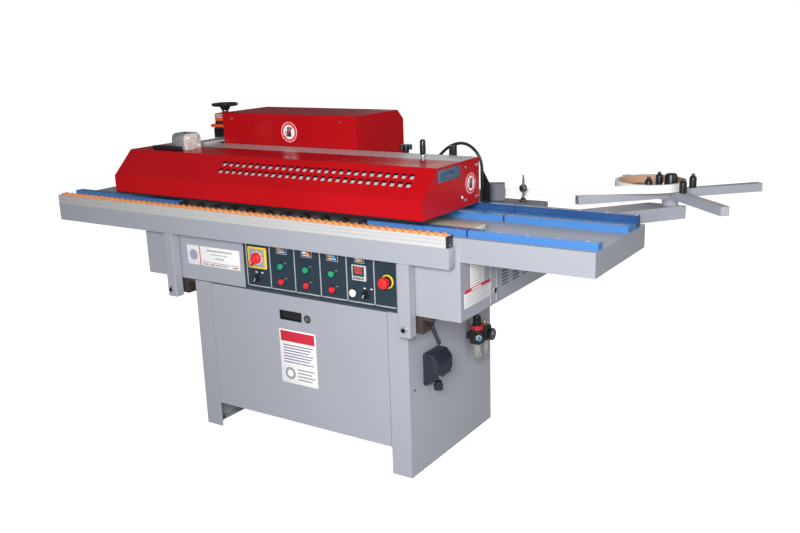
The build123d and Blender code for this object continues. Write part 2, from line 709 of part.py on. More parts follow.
knob_x = 241.0
knob_y = 112.0
knob_z = table_height + 206.0
knob_stud_d = 10.0
boss_top = table_height + 172.0
stud_foot = boss_top - 20.0
pot_x = 234.0
pot_y = 165.0
pot_size = (150.0, 130.0, 150.0)
pot = block(pot_x - pot_size[0] / 2, pot_x + pot_size[0] / 2, pot_y - pot_size[1] / 2, pot_y + pot_size[1] / 2,
            table_height, table_height + pot_size[2])
pot = upright_edges(pot, 12.0)
pot += block(pot_x + pot_size[0] / 2, pot_x + pot_size[0] / 2 + 34, 113, 143, table_height + 60,
             table_height + 95)
pot -= block(pot_x - pot_size[0] / 2 + 12, pot_x + pot_size[0] / 2 - 12, pot_y - pot_size[1] / 2 + 12,
             pot_y + pot_size[1] / 2 - 12, table_height + 12, table_height + pot_size[2] + 1)
pot += disc_z(knob_x, knob_y, table_height + 60, boss_top, 24.0)
pot -= disc_z(knob_x, knob_y, stud_foot - 2, boss_top + 1, knob_stud_d + 2 * running_clearance)
nodes["glue_pot"] = pot
roller_x = 110.0
roller_y = 100.0
roller_d = 70.0
roller_axle_d = 14.0
nodes["pressure_roller"] = disc_z(roller_x, roller_y, table_height + 10, table_height + 70, roller_d) \
    + disc_z(roller_x, roller_y, table_height + 0.5, table_height + 90, roller_axle_d)

star_r = 24.0
star = disc_z(knob_x, knob_y, knob_z, knob_z + 18, 1.5 * star_r)
for n in range(5):
    angle = radians(72 * n + 18)
    star += disc_z(knob_x + 0.66 * star_r * cos(angle), knob_y + 0.66 * star_r * sin(angle), knob_z,
                   knob_z + 18, 0.68 * star_r)
star += disc_z(knob_x, knob_y, knob_z - 12, knob_z, 24.0)
nodes["star_knob"] = star + disc_z(knob_x, knob_y, stud_foot, knob_z - 12, knob_stud_d)

# ---- Tape guide ---------------------------------------------------------------------
tape_dir = Vector(cos(radians(tape_turn)), sin(radians(tape_turn)), 0)
tape_side = Vector(sin(radians(tape_turn)), -cos(radians(tape_turn)), 0)
coil_x = reel_x + coil_offset
coil_y = reel_y
tape_low = reel_top + 0.5
tangent = Vector(coil_x, coil_y, 0) + tape_side * (coil_r + 0.5)
plate_thickness = 15.0
plate_top = table_height + plate_thickness
plate_front = fence_y + fence_thickness + 1
plate_back = 300.0
plate_left = rear_post_x + rear_post_width / 2 + 2
plate = prism_z([(plate_left, plate_front), (cabinet_right + 64, plate_front), (cabinet_right + 64, 200),
                 (cabinet_right + 24, plate_back), (plate_left, plate_back)], table_height, plate_top)
nodes["tape_guide_plate"] = plate

slot_center = tangent - tape_dir * 592.0
guide_length = 80.0
guide_depth = 48.0
guide_height = 60.0
tape_slot = 4.0
guide = Box(guide_length, guide_depth, guide_height, align=(MID, MID, MIN))
guide = fillet(guide.edges().filter_by(Axis.Z), 2.0)
guide -= Pos(0, 0, tape_low - plate_top - 3) * Box(guide_length + 2, tape_slot, tape_height + 6,
                                                   align=(MID, MID, MIN))
turned = Pos(slot_center.X, slot_center.Y, plate_top) * Rot(0, 0, tape_turn)
post_place = slot_center + tape_dir * 105.0 + tape_side * 46.0
post_x = post_place.X
post_y = post_place.Y
post = disc_z(post_x, post_y, plate_top, plate_top + 6, 26.0)
post += disc_z(post_x, post_y, plate_top, plate_top + 82, 9.0)
post += disc_z(post_x, post_y, plate_top + 82, plate_top + 96, 6.0)
knob_height = 50.0
post += disc_y(post_x, plate_top + knob_height, post_y - 10, post_y + 6, 24.0)
nodes["tape_guide_block"] = Compound([turned * guide, post])

run_part = Box(tape_run_length, tape_gauge, tape_height, align=(Align.MAX, MID, MIN))
nodes["edge_tape_run"] = Pos(tangent.X, tangent.Y, tape_low) * Rot(0, 0, tape_turn) * run_part

# ---- Reel ----------------------------------------------------------------------------
arm_angle = radians(51.0)
beam_back_corner = (reel_x - 85.0, reel_y + 16.0)
beam_front_corner = (reel_x + 58.0, reel_y + 8.0)
slope = tan(arm_angle)
wall = cabinet_right
reel_plan = [(wall, beam_front_corner[1] - (beam_front_corner[0] - wall) * slope), beam_front_corner,
             beam_back_corner, (wall, beam_back_corner[1] - (beam_back_corner[0] - wall) * slope)]
reel_beam = prism_z(reel_plan, reel_beam_top - reel_beam_height, reel_beam_top)
bearing_top = spider_bottom - 3.0
reel_beam += disc_z(reel_x, reel_y, reel_beam_top, bearing_top, 60.0)
reel_beam -= disc_z(reel_x, reel_y, reel_beam_top - 30, bearing_top + 1, reel_axle_d + 2 * running_clearance)
nodes["reel_beam"] = reel_beam

spider = None
for n in range(2):
    bar = Pos(reel_x, reel_y, spider_bottom) * Rot(0, 0, spider_turn + 90 * n) \
        * Box(2 * spider_length, spider_tube, spider_tube, align=(MID, MID, MIN))
    spider = bar if spider is None else spider + bar
spider += disc_z(reel_x, reel_y, bearing_top + 0.5, spider_bottom, bearing_d)
spider += disc_z(reel_x, reel_y, reel_beam_top - 28, spider_bottom, reel_axle_d)
nodes["reel_spider"] = spider

pins = []
for n in range(4):
    angle = radians(spider_turn + 90 * n)
    x = reel_x + pin_circle_r * cos(angle)
    y = reel_y + pin_circle_r * sin(angle)
    pin = disc_z(x, y, reel_top, reel_top + pin_height - 8, pin_d)
    cone = Pos(x, y, reel_top + pin_height - 8) * Cone(pin_d / 2, 4.0, 8.0, align=(MID, MID, MIN))
    pins.append(pin + cone)
hub = disc_z(reel_x, reel_y, reel_top, reel_top + hub_height, hub_d)
pins.append(chamfer(hub.edges().sort_by(Axis.Z)[-1:], 5.0))
nodes["reel_pins"] = Compound(pins)
coil = disc_z(coil_x, coil_y, tape_low, tape_low + tape_height, 2 * coil_r)
coil -= disc_z(coil_x, coil_y, tape_low - 1, tape_low + tape_height + 1, 2 * (coil_r - coil_thickness))
nodes["edge_tape_coil"] = coil

# ---- Control panel fittings ------------------------------------------------------------
bezels = []
for x, z in round_places[:-1]:
    ring = disc_y(x, z, bezel_face, panel_face, bezel_d)
    bezels.append(ring - disc_y(x, z, bezel_face - 1, panel_face + 1, hole_d))
ring = disc_y(estop_x, estop_z, bezel_face, panel_face, estop_ring_d)
bezels.append(ring - disc_y(estop_x, estop_z, bezel_face - 1, panel_face + 1, hole_d))
plate = block(switch_x - switch_plate[0] / 2, switch_x + switch_plate[0] / 2, bezel_face, panel_face,
              switch_z - switch_plate[1] / 2, switch_z + switch_plate[1] / 2)
bezels.append(plate - shaft_bore)
nodes["panel_bezels"] = Compound(bezels)

button_back = cabinet_front + sheet
for n, x in enumerate(button_columns, start=1):
    for colour, z in (("green", green_z), ("red", red_z)):
        cap = disc_y(x, z, bezel_face - button_rise, button_back, button_d)
        nodes[f"{colour}_button_{n}"] = fillet(cap.edges().sort_by(Axis.Y)[:1], 1.5)
cap = disc_y(white_button_x, red_z, bezel_face - button_rise, button_back, button_d)
nodes["white_button"] = fillet(cap.edges().sort_by(Axis.Y)[:1], 1.5)

knob_rise = 14.0
for name, x in (("selector_left", selector_left_x), ("selector_right", selector_right_x)):
    knob = disc_y(x, red_z, bezel_face - 3, button_back, button_d)
    knob += block(x - 4, x + 4, bezel_face - knob_rise, bezel_face - 3, red_z - 10, red_z + 10)
    nodes[name] = knob

handle_height = 26.0
handle = disc_y(switch_x, switch_z, bezel_face - 10, bezel_face - 0.5, 46.0)
handle += block(switch_x - 8, switch_x + 8, bezel_face - handle_height, bezel_face - 10, switch_z - 30,
                switch_z + 22)
handle += disc_y(switch_x, switch_z, bezel_face - 10, button_back, switch_shaft_d)
nodes["main_switch_handle"] = Pos(switch_x, 0, switch_z) * Rot(0, 40, 0) * Pos(-switch_x, 0, -switch_z) * handle

mushroom = disc_y(estop_x, estop_z, bezel_face - 20, button_back, button_d)
head = disc_y(estop_x, estop_z, bezel_face - 34, bezel_face - 18, estop_head_d)
head = fillet(head.edges().sort_by(Axis.Y)[:1], 7.0)
nodes["estop_mushroom"] = mushroom + head

controller = block(controller_x - controller_face[0] / 2, controller_x + controller_face[0] / 2,
                   panel_face - 7, panel_face, controller_z - controller_face[1] / 2,
                   controller_z + controller_face[1] / 2)
controller += block(controller_x - controller_body[0] / 2, controller_x + controller_body[0] / 2, panel_face,
                    panel_face + controller_body[2], controller_z - controller_body[1] / 2,
                    controller_z + controller_body[1] / 2)
nodes["temperature_controller"] = controller

# ---- Services on the base's right side --------------------------------------------------
depth, width, height = inlet_size
inlet_z = base_height - inlet_drop
front = [(0, -height / 2), (depth, -height / 2 + 34), (depth, height / 2 - 30),
         (depth - 22, height / 2), (0, height / 2)]
outline = [(base_x + x, inlet_z + z) for x, z in front]
housing = extrude(make_face(Plane.XZ * Polyline(*outline, close=True)), width)
housing = Pos(0, inlet_y + width / 2, 0) * housing
housing = fillet(housing.edges().filter_by(Axis.Y).sort_by(Axis.X)[2:], 5.0)
gland_x = base_x + 30.0
gland_bottom = inlet_z - height / 2 - gland_length
housing += disc_z(gland_x, inlet_y, gland_bottom, inlet_z - height / 2 + 20, gland_d)
housing -= disc_z(gland_x, inlet_y, gland_bottom - 1, inlet_z - height / 2 + 15, gland_bore_d)
nodes["mains_inlet"] = housing

air_x = base_x + air_x_offset
air_z = base_height - air_body_drop
unit = block(base_x, air_x, air_y - 20, air_y + air_pitch + 20, air_z - 14, air_z + 14)
for n in range(2):
    y = air_y + n * air_pitch
    unit += upright_edges(block(air_x - air_body / 2, air_x + air_body / 2, y - air_body / 2, y + air_body / 2,
                                air_z - 30, air_z + 26), 6.0)
unit += block(air_x - 12, air_x + 12, air_y + air_body / 2, air_y + air_pitch - air_body / 2,
              air_z - 16, air_z + 12)
unit += disc_z(air_x, air_y, air_z + 26, air_z + 42, 46.0)
unit += disc_z(air_x, air_y + air_pitch, air_z + 26, air_z + 46, 16.0)
gauge_d = 46.0
gauge_depth = 18.0
unit += disc_x(air_y + air_pitch, air_z - 6, air_x + air_body / 2, air_x + air_body / 2 + gauge_depth, gauge_d)
port_place = Pos(air_x, air_y, air_z) * Rot(0, 0, air_port_turn)
unit += port_place * disc_y(0, 0, -air_port_reach, 0, 16.0)
unit -= port_place * disc_y(0, 0, -air_port_reach - 1, air_port_depth - air_port_reach, air_port_d)
nodes["air_unit"] = unit
bowls = []
for n in range(2):
    y = air_y + n * air_pitch
    bowl = disc_z(air_x, y, air_z - 30 - bowl_height, air_z - 30, bowl_d)
    bowl = fillet(bowl.edges().sort_by(Axis.Z)[:1], 8.0)
    bowl += Pos(air_x, y, air_z - 30 - bowl_height - 16) * Cone(3.0, 7.0, 16.0, align=(MID, MID, MIN))
    bowls.append(bowl)
nodes["air_bowls"] = Compound(bowls)
knob_gap = 1.0
air_knob = disc_z(air_x, air_y, air_z + 42 + knob_gap, air_z + 80, 34.0)
nodes["air_knob"] = chamfer(air_knob.edges().sort_by(Axis.Z)[-1:], 4.0)

# ---- Hose from the glue pot to the tape guide ---------------------------------------------
hose_d = 11.0
hose_y = 128.0
hose_outline = [(328, 95), (330, 133), (346, 163), (379, 191), (406, 216), (437, 231), (466, 237), (495, 232),
                (525, 211), (544, 180), (549, 144), (550, 100), (546, 56), (546, plate_thickness)]
hose_points = [(x, hose_y, table_height + rise) for x, rise in hose_outline]


def hose_radii(points):
    """The largest tangent arc that each corner's two runs allow."""
    radii = []
    for before, corner, after in zip(points, points[1:], points[2:]):
        first = Vector(*corner) - Vector(*before)
        second = Vector(*after) - Vector(*corner)
        half_turn = radians(first.get_angle(second)) / 2
        radii.append(0.45 * min(first.length, second.length) / tan(half_turn))
    return radii


radii = hose_radii(hose_points)
hose_path = FilletPolyline(*hose_points, radius=radii)
start = Plane(origin=hose_points[0], z_dir=Vector(*hose_points[1]) - Vector(*hose_points[0]))
nodes["cable_hose"] = sweep(start * Circle(hose_d / 2), path=hose_path)

os.makedirs("parts", exist_ok=True)
for name, shape in nodes.items():
    export_step(shape, f"parts/{name}.step")
print(len(nodes), "nodes; hose radii", [round(r) for r in radii])
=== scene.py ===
import logging
from collections.abc import Iterable, Sequence
from dataclasses import dataclass
from enum import Enum
from math import cos, pi, radians, sin

import bmesh
import bpy
from mathutils import Matrix, Vector


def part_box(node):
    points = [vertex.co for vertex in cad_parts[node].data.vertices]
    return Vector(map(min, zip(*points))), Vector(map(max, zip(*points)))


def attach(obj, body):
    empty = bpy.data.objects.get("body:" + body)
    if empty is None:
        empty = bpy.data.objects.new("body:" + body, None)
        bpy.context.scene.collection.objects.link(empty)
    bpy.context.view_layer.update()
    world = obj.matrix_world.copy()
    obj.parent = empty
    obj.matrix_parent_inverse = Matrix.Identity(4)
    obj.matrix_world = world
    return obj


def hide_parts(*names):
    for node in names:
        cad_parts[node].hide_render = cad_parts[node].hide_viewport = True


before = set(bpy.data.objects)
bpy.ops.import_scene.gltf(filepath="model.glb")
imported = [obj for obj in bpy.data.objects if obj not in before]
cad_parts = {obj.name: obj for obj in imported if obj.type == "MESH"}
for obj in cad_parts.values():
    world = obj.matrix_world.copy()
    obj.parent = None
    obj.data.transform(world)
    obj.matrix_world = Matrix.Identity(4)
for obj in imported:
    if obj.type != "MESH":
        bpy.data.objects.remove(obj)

LOG = logging.getLogger("edge_banding_machine")
MM = 0.001
Triple = tuple[float, float, float]


def mm(point: Sequence[float]) -> Vector:
    """Return a point given in millimetres as a vector in metres."""
    return Vector(point) * MM


class Axis(Enum):
    """A main direction of the machine."""

    RIGHT = (1.0, 0.0, 0.0)
    LEFT = (-1.0, 0.0, 0.0)
    BACK = (0.0, 1.0, 0.0)
    FRONT = (0.0, -1.0, 0.0)
    UP = (0.0, 0.0, 1.0)
    DOWN = (0.0, 0.0, -1.0)

    @property
    def vector(self) -> Vector:
        """The direction as a unit vector."""
        return Vector(self.value)


class Sheen(Enum):
    """How polished a surface is, as its roughness."""

    POLISHED = 0.12
    GLOSSY = 0.28
    SATIN = 0.42
    DULL = 0.6
    MATT = 0.8


@dataclass(frozen=True)
class Finish:
    """A procedural surface finish.

    Attributes:
        name: The material's name.
        slot: The record's material slot it belongs to; not used.
        colour: Base colour, linear.
        sheen: How polished it is.
        metallic: 1 for bare metal.
        coat: Strength of a clear coat.
        mottle: How far the colour drifts over the surface.
        mottle_size: Size of that drift, in metres.
        grain: Strength of the fine relief.
        grain_size: Size of that relief, in metres.
        stretch: Scale of the pattern along each axis, for brushed or drawn metal.
        scuff: How much of the surface shows light rub marks.
        glow: Emission strength.
        clear: Transmission of a clear plastic.
        mirror: Level of the surface reflection, 0.5 for a usual paint.
    """

    name: str
    slot: str
    colour: Triple
    sheen: Sheen = Sheen.SATIN
    metallic: float = 0.0
    coat: float = 0.0
    mottle: float = 0.05
    mottle_size: float = 0.3
    grain: float = 0.06
    grain_size: float = 0.0025
    stretch: Triple = (1.0, 1.0, 1.0)
    scuff: float = 0.0
    glow: float = 0.0
    clear: float = 0.0
    mirror: float = 0.5

    def material(self) -> bpy.types.Material:
        """Build the material once and return it."""
        name = f"finish_{self.name}"
        known = bpy.data.materials.get(name)
        if known is not None:
            return known
        material = bpy.data.materials.new(name)
        material.use_nodes = True
        material.diffuse_color = (*self.colour, 1.0)
        tree = material.node_tree
        shader = tree.nodes["Principled BSDF"]
        shader.inputs["Metallic"].default_value = self.metallic
        shader.inputs["Coat Weight"].default_value = self.coat
        shader.inputs["Coat Roughness"].default_value = 0.15
        shader.inputs["Specular IOR Level"].default_value = self.mirror
        if self.clear > 0.0:
            shader.inputs["Transmission Weight"].default_value = self.clear
            shader.inputs["IOR"].default_value = 1.46
        if self.glow > 0.0:
            shader.inputs["Emission Color"].default_value = (*self.colour, 1.0)
            shader.inputs["Emission Strength"].default_value = self.glow
        place = self._placed(tree)
        slow = self._noise(tree, place, 1.0 / self.mottle_size, 3.0)
        colour = self._blend(tree, slow, self._shade(1.0 - self.mottle), self._shade(1.0 + self.mottle))
        if self.scuff > 0.0:
            colour = self._scuffed(tree, place, colour)
        tree.links.new(colour, shader.inputs["Base Color"])
        fine = self._noise(tree, place, 1.0 / self.grain_size, 2.0)
        spread = 0.06 if self.sheen is not Sheen.POLISHED else 0.03
        rough = self._range(tree, slow, self.sheen.value - spread, self.sheen.value + spread)
        tree.links.new(rough, shader.inputs["Roughness"])
        bump = tree.nodes.new("ShaderNodeBump")
        bump.inputs["Strength"].default_value = self.grain
        bump.inputs["Distance"].default_value = self.grain_size * 0.4
        tree.links.new(fine, bump.inputs["Height"])
        tree.links.new(bump.outputs["Normal"], shader.inputs["Normal"])
        return material

    def _shade(self, factor: float) -> tuple[float, float, float, float]:
        """Return the colour made darker or lighter."""
        red, green, blue = (min(1.0, part * factor) for part in self.colour)
        return (red, green, blue, 1.0)

    def _placed(self, tree: bpy.types.NodeTree) -> bpy.types.NodeSocket:
        """Add object coordinates stretched along the grain."""
        source = tree.nodes.new("ShaderNodeTexCoord")
        mapping = tree.nodes.new("ShaderNodeMapping")
        mapping.inputs["Scale"].default_value = self.stretch
        tree.links.new(source.outputs["Object"], mapping.inputs["Vector"])
        return mapping.outputs["Vector"]

    def _noise(
        self, tree: bpy.types.NodeTree, place: bpy.types.NodeSocket, scale: float, detail: float
    ) -> bpy.types.NodeSocket:
        """Add a noise texture and return its value."""
        noise = tree.nodes.new("ShaderNodeTexNoise")
        noise.inputs["Scale"].default_value = scale
        noise.inputs["Detail"].default_value = detail
        tree.links.new(place, noise.inputs["Vector"])
        return noise.outputs["Fac"]

    def _range(
        self, tree: bpy.types.NodeTree, value: bpy.types.NodeSocket, low: float, high: float
    ) -> bpy.types.NodeSocket:
        """Map a noise value onto a range."""
        node = tree.nodes.new("ShaderNodeMapRange")
        node.inputs["From Min"].default_value = 0.3
        node.inputs["From Max"].default_value = 0.7
        node.inputs["To Min"].default_value = low
        node.inputs["To Max"].default_value = high
        tree.links.new(value, node.inputs["Value"])
        return node.outputs["Result"]

    def _blend(
        self,
        tree: bpy.types.NodeTree,
        factor: bpy.types.NodeSocket,
        dark: tuple[float, float, float, float],
        light: tuple[float, float, float, float],
    ) -> bpy.types.NodeSocket:
        """Blend two colours by a noise value."""
        ramp = tree.nodes.new("ShaderNodeValToRGB")
        ramp.color_ramp.elements[0].position = 0.3
        ramp.color_ramp.elements[0].color = dark
        ramp.color_ramp.elements[1].position = 0.7
        ramp.color_ramp.elements[1].color = light
        tree.links.new(factor, ramp.inputs["Fac"])
        return ramp.outputs["Color"]

    def _scuffed(
        self, tree: bpy.types.NodeTree, place: bpy.types.NodeSocket, colour: bpy.types.NodeSocket
    ) -> bpy.types.NodeSocket:
        """Lay faint rub marks over a colour."""
        marks = self._noise(tree, place, 55.0, 9.0)
        limit = tree.nodes.new("ShaderNodeMapRange")
        limit.inputs["From Min"].default_value = 0.6
        limit.inputs["From Max"].default_value = 0.72
        limit.inputs["To Max"].default_value = self.scuff
        tree.links.new(marks, limit.inputs["Value"])
        mix = tree.nodes.new("ShaderNodeMix")
        mix.data_type = "RGBA"
        tree.links.new(limit.outputs["Result"], mix.inputs["Factor"])
        tree.links.new(colour, mix.inputs["A"])
        mix.inputs["B"].default_value = self._shade(1.6)
        return mix.outputs["Result"]


@dataclass(frozen=True)
class WoundTape(Finish):
    """Edge tape wound in turns: tan inside, white outside, fine rings between.

    Attributes:
        centre: The coil's axis, in metres.
        inner: Radius of the coil's inner wall, in metres.
        outer: Radius of the coil's outer wall, in metres.
        back_colour: Colour of the tape's back.
    """

    centre: tuple[float, float] = (0.985, 0.657)
    inner: float = 0.117
    outer: float = 0.131
    back_colour: Triple = (0.55, 0.33, 0.22)

    def material(self) -> bpy.types.Material:
        """Add the turns to the plain tape finish."""
        known = bpy.data.materials.get(f"finish_{self.name}")
        if known is not None:
            return known
        material = super().material()
        tree = material.node_tree
        source = tree.nodes.new("ShaderNodeTexCoord")
        shift = tree.nodes.new("ShaderNodeMapping")
        shift.inputs["Location"].default_value = (-self.centre[0], -self.centre[1], 0.0)
        tree.links.new(source.outputs["Object"], shift.inputs["Vector"])
        flat = tree.nodes.new("ShaderNodeVectorMath")
        flat.operation = "MULTIPLY"
        flat.inputs[1].default_value = (1.0, 1.0, 0.0)
        tree.links.new(shift.outputs["Vector"], flat.inputs[0])
        length = tree.nodes.new("ShaderNodeVectorMath")
        length.operation = "LENGTH"
        tree.links.new(flat.outputs["Vector"], length.inputs[0])
        across = tree.nodes.new("ShaderNodeMapRange")
        across.inputs["From Min"].default_value = self.inner
        across.inputs["From Max"].default_value = self.outer
        tree.links.new(length.outputs["Value"], across.inputs["Value"])
        ramp = tree.nodes.new("ShaderNodeValToRGB")
        ramp.color_ramp.interpolation = "CONSTANT"
        ramp.color_ramp.elements[0].color = (*self.back_colour, 1.0)
        ramp.color_ramp.elements[1].position = 0.96
        ramp.color_ramp.elements[1].color = (*self.colour, 1.0)
        for turn in range(1, 12):
            element = ramp.color_ramp.elements.new(turn * 0.08)
            shade = 0.8 if turn % 2 else 0.45
            element.color = tuple(
                shade * part + (1.0 - shade) * back
                for part, back in zip(self.colour, self.back_colour)
            ) + (1.0,)
        tree.links.new(across.outputs["Result"], ramp.inputs["Fac"])
        tree.links.new(ramp.outputs["Color"], tree.nodes["Principled BSDF"].inputs["Base Color"])
        return material


GREY_PAINT = Finish("grey_paint", "grey_paint", (0.375, 0.392, 0.445), Sheen.SATIN, coat=0.12, mottle=0.025,
                    mottle_size=0.5, grain=0.05, scuff=0.04)
GREY_TOP = Finish("grey_table", "grey_paint", (0.35, 0.365, 0.41), Sheen.SATIN, coat=0.1, mottle=0.05,
                  stretch=(0.2, 1.0, 1.0), grain=0.06, scuff=0.08)
BEAM_TOP = Finish("beam_top", "grey_paint", (0.50, 0.50, 0.52), Sheen.GLOSSY, coat=0.2, mottle=0.12,
                  stretch=(0.2, 1.0, 1.0), scuff=0.1)
LIGHT_GREY = Finish("light_grey", "grey_paint", (0.52, 0.53, 0.56), Sheen.SATIN, mottle=0.03)
RED_PAINT = Finish("red_paint", "red_paint", (0.46, 0.003, 0.007), Sheen.GLOSSY, coat=0.06, mottle=0.05,
                   mottle_size=0.4, grain=0.05, scuff=0.015, mirror=0.22)
NAVY_PANEL = Finish("navy_panel", "panel_paint", (0.018, 0.035, 0.055), Sheen.SATIN, coat=0.1, mottle=0.06)
# Near-black finish: painted shade for the sheets behind the vents and for the underlay under the upper
# cabinet; also the two black blocks under the extension table.
BLACK_BOARD_AND_SHADE = Finish("black_board", "black_board", (0.012, 0.014, 0.02), Sheen.DULL, mottle=0.1)
BLUE_RAIL = Finish("blue_rail", "blue_rail", (0.065, 0.22, 0.55), Sheen.GLOSSY, coat=0.2, mottle=0.05,
                   stretch=(0.1, 1.0, 1.0), scuff=0.08)
BLUE_FENCE = Finish("blue_fence", "blue_fence", (0.022, 0.075, 0.22), Sheen.GLOSSY, coat=0.3, mottle=0.2,
                    mottle_size=0.1, stretch=(0.4, 1.0, 1.0))
BLACK_ROLLER = Finish("black_roller", "black_roller", (0.02, 0.018, 0.017), Sheen.DULL, mottle=0.15,
                      grain=0.15,
                      grain_size=0.001)
ORANGE_ROLLER = Finish("orange_roller", "orange_roller", (0.92, 0.37, 0.14), Sheen.SATIN, mottle=0.08,
                       mottle_size=0.02)
PROFILE = Finish("profile", "aluminium", (0.58, 0.58, 0.58), Sheen.SATIN, metallic=0.1, mottle=0.03,
                 stretch=(0.03, 1.0, 1.0), grain=0.1, grain_size=0.001)
CAST_ALUMINIUM = Finish("cast_aluminium", "aluminium", (0.42, 0.41, 0.42), Sheen.GLOSSY, metallic=0.5,
                        mottle=0.3, mottle_size=0.02, grain=0.9, grain_size=0.012)
GROUND_STEEL = Finish("ground_steel", "ground_steel", (0.55, 0.56, 0.58), Sheen.GLOSSY, metallic=0.95,
                      stretch=(1.0, 0.05, 1.0), grain=0.1, grain_size=0.001)
MILLED_GREY = Finish("milled_grey", "grey_casting", (0.15, 0.15, 0.18), Sheen.DULL, metallic=0.1,
                     mottle=0.12,
                     mottle_size=0.05, stretch=(1.0, 0.15, 1.0), grain=0.12, grain_size=0.001)
LOCK_GREY = Finish("lock_grey", "dark_steel", (0.10, 0.10, 0.11), Sheen.GLOSSY, metallic=0.6)
LOCK_FACE = Finish("lock_face", "dark_steel", (0.22, 0.17, 0.15), Sheen.GLOSSY, metallic=0.6)
DARK_STEEL = Finish("dark_steel", "dark_steel", (0.02, 0.018, 0.018), Sheen.SATIN, mottle=0.15, scuff=0.08)
BROWN_STEEL = Finish("brown_steel", "dark_steel", (0.05, 0.035, 0.03), Sheen.SATIN, mottle=0.2, scuff=0.1)
BLACK_PLASTIC = Finish("black_plastic", "black_plastic", (0.012, 0.013, 0.018), Sheen.GLOSSY, coat=0.1,
                       mottle=0.08, grain=0.12, grain_size=0.0008)
NAVY_PLASTIC = Finish("navy_plastic", "black_plastic", (0.016, 0.02, 0.035), Sheen.SATIN,
                      mottle=0.1, grain=0.25,
                      grain_size=0.0012)
CHROME = Finish("chrome", "ground_steel", (0.75, 0.76, 0.78), Sheen.POLISHED, metallic=1.0, mottle=0.02)
BRASS = Finish("brass", "ground_steel", (0.65, 0.45, 0.2), Sheen.GLOSSY, metallic=1.0, mottle=0.05)
INDICATOR_ORANGE = Finish("indicator_orange", "indicator_orange", (0.85, 0.09, 0.03), Sheen.GLOSSY,
                          coat=0.2)
GREEN_BUTTON = Finish("green_button", "green_button", (0.01, 0.36, 0.17), Sheen.SATIN, mottle=0.04,
                      mottle_size=0.02)
RED_BUTTON = Finish("red_button", "red_button", (0.75, 0.02, 0.025), Sheen.SATIN, mottle=0.04,
                    mottle_size=0.02)
WHITE_BUTTON = Finish("white_button", "white_button", (0.90, 0.90, 0.88), Sheen.GLOSSY, mottle=0.02)
YELLOW_PLASTIC = Finish("yellow_plastic", "bezel", (0.85, 0.65, 0.03), Sheen.SATIN, mottle=0.04)
BEZEL_BLACK = Finish("bezel_black", "bezel", (0.015, 0.018, 0.022), Sheen.SATIN)
BEZEL_GREY = Finish("bezel_grey", "bezel", (0.45, 0.45, 0.45), Sheen.SATIN, metallic=0.3)
HOSE_RUBBER = Finish("hose_rubber", "hose_rubber", (0.014, 0.014, 0.016), Sheen.SATIN, mottle=0.1,
                     grain=0.15,
                     grain_size=0.001)
TAPE_WHITE = Finish("tape_white", "tape_white", (0.82, 0.82, 0.81), Sheen.GLOSSY, mottle=0.02,
                    stretch=(1.0, 1.0, 0.2))
TAPE_COIL = WoundTape("tape_coil", "tape_white", (0.88, 0.87, 0.84), Sheen.GLOSSY, mottle=0.02)
CLEAR_BOWL = Finish("clear_bowl", "clear_bowl", (0.82, 0.86, 0.86), Sheen.POLISHED, clear=0.85, mottle=0.02)
GAUGE_FACE = Finish("gauge_face", "black_plastic", (0.05, 0.05, 0.06), Sheen.GLOSSY, coat=0.5)
CREAM = Finish("cream", "clear_bowl", (0.75, 0.66, 0.5), Sheen.SATIN)
PRINT_WHITE = Finish("print_white", "white_button", (0.88, 0.88, 0.88), Sheen.SATIN, mottle=0.02)
PRINT_RED = Finish("print_red", "red_button", (0.62, 0.02, 0.05), Sheen.SATIN, mottle=0.03)
SIGN_RED = Finish("sign_red", "red_button", (0.80, 0.03, 0.06), Sheen.SATIN, mottle=0.02)
PRINT_DARK = Finish("print_dark", "bezel", (0.03, 0.03, 0.04), Sheen.SATIN)
PRINT_GREY = Finish("print_grey", "bezel", (0.33, 0.33, 0.36), Sheen.SATIN)
PRINT_LILAC = Finish("print_lilac", "bezel", (0.38, 0.34, 0.48), Sheen.SATIN)
PRINT_LINE = Finish("print_line", "bezel", (0.42, 0.43, 0.44), Sheen.SATIN)
PRINT_VIOLET = Finish("print_violet", "bezel", (0.20, 0.13, 0.30), Sheen.SATIN)
PRINT_ORANGE = Finish("print_orange", "bezel", (0.80, 0.30, 0.10), Sheen.SATIN)
PRINT_BLUE = Finish("print_blue", "bezel", (0.10, 0.35, 0.62), Sheen.SATIN)
LIGHT_CAP = Finish("light_cap", "aluminium", (0.62, 0.58, 0.54), Sheen.GLOSSY, mottle=0.25,
                   mottle_size=0.02, grain=0.6,
                   grain_size=0.012)
BOARD_TOP = Finish("board_top", "tape_white", (0.50, 0.45, 0.36), Sheen.SATIN, mottle=0.08,
                   stretch=(0.3, 2.0, 1.0))
BOARD_EDGE = Finish("board_edge", "tape_white", (0.74, 0.72, 0.66), Sheen.SATIN, mottle=0.05)
# Pale peach strip under the rollers: partly the profile's bed, partly painted highlight of the orange roller
# strip.
ROLLER_BED_AND_HIGHLIGHT = Finish("roller_bed_and_highlight", "orange_roller", (0.88, 0.58, 0.40), Sheen.SATIN, mottle=0.05)
# Lighter and darker copies of the rail blue for rail end faces: painted highlight and painted shade.
RAIL_END_HIGHLIGHT = Finish("rail_end_highlight", "blue_rail", (0.10, 0.30, 0.62), Sheen.SATIN)
RAIL_END_SHADE = Finish("rail_end_shade", "blue_rail", (0.008, 0.04, 0.16), Sheen.SATIN)
WINDOW_GLASS = Finish("window_glass", "black_plastic", (0.05, 0.10, 0.18), Sheen.GLOSSY, coat=0.5)
WINDOW_FRAME = Finish("window_frame", "black_plastic", (0.10, 0.15, 0.20), Sheen.SATIN)
DISPLAY_GLASS = Finish("display_glass", "black_plastic", (0.02, 0.06, 0.07), Sheen.GLOSSY, coat=0.3)
DIGIT_RED = Finish("digit_red", "red_button", (0.75, 0.02, 0.02), Sheen.GLOSSY, glow=0.8)
CONTROLLER_CASE = Finish("controller_case", "bezel", (0.58, 0.60, 0.58), Sheen.SATIN)


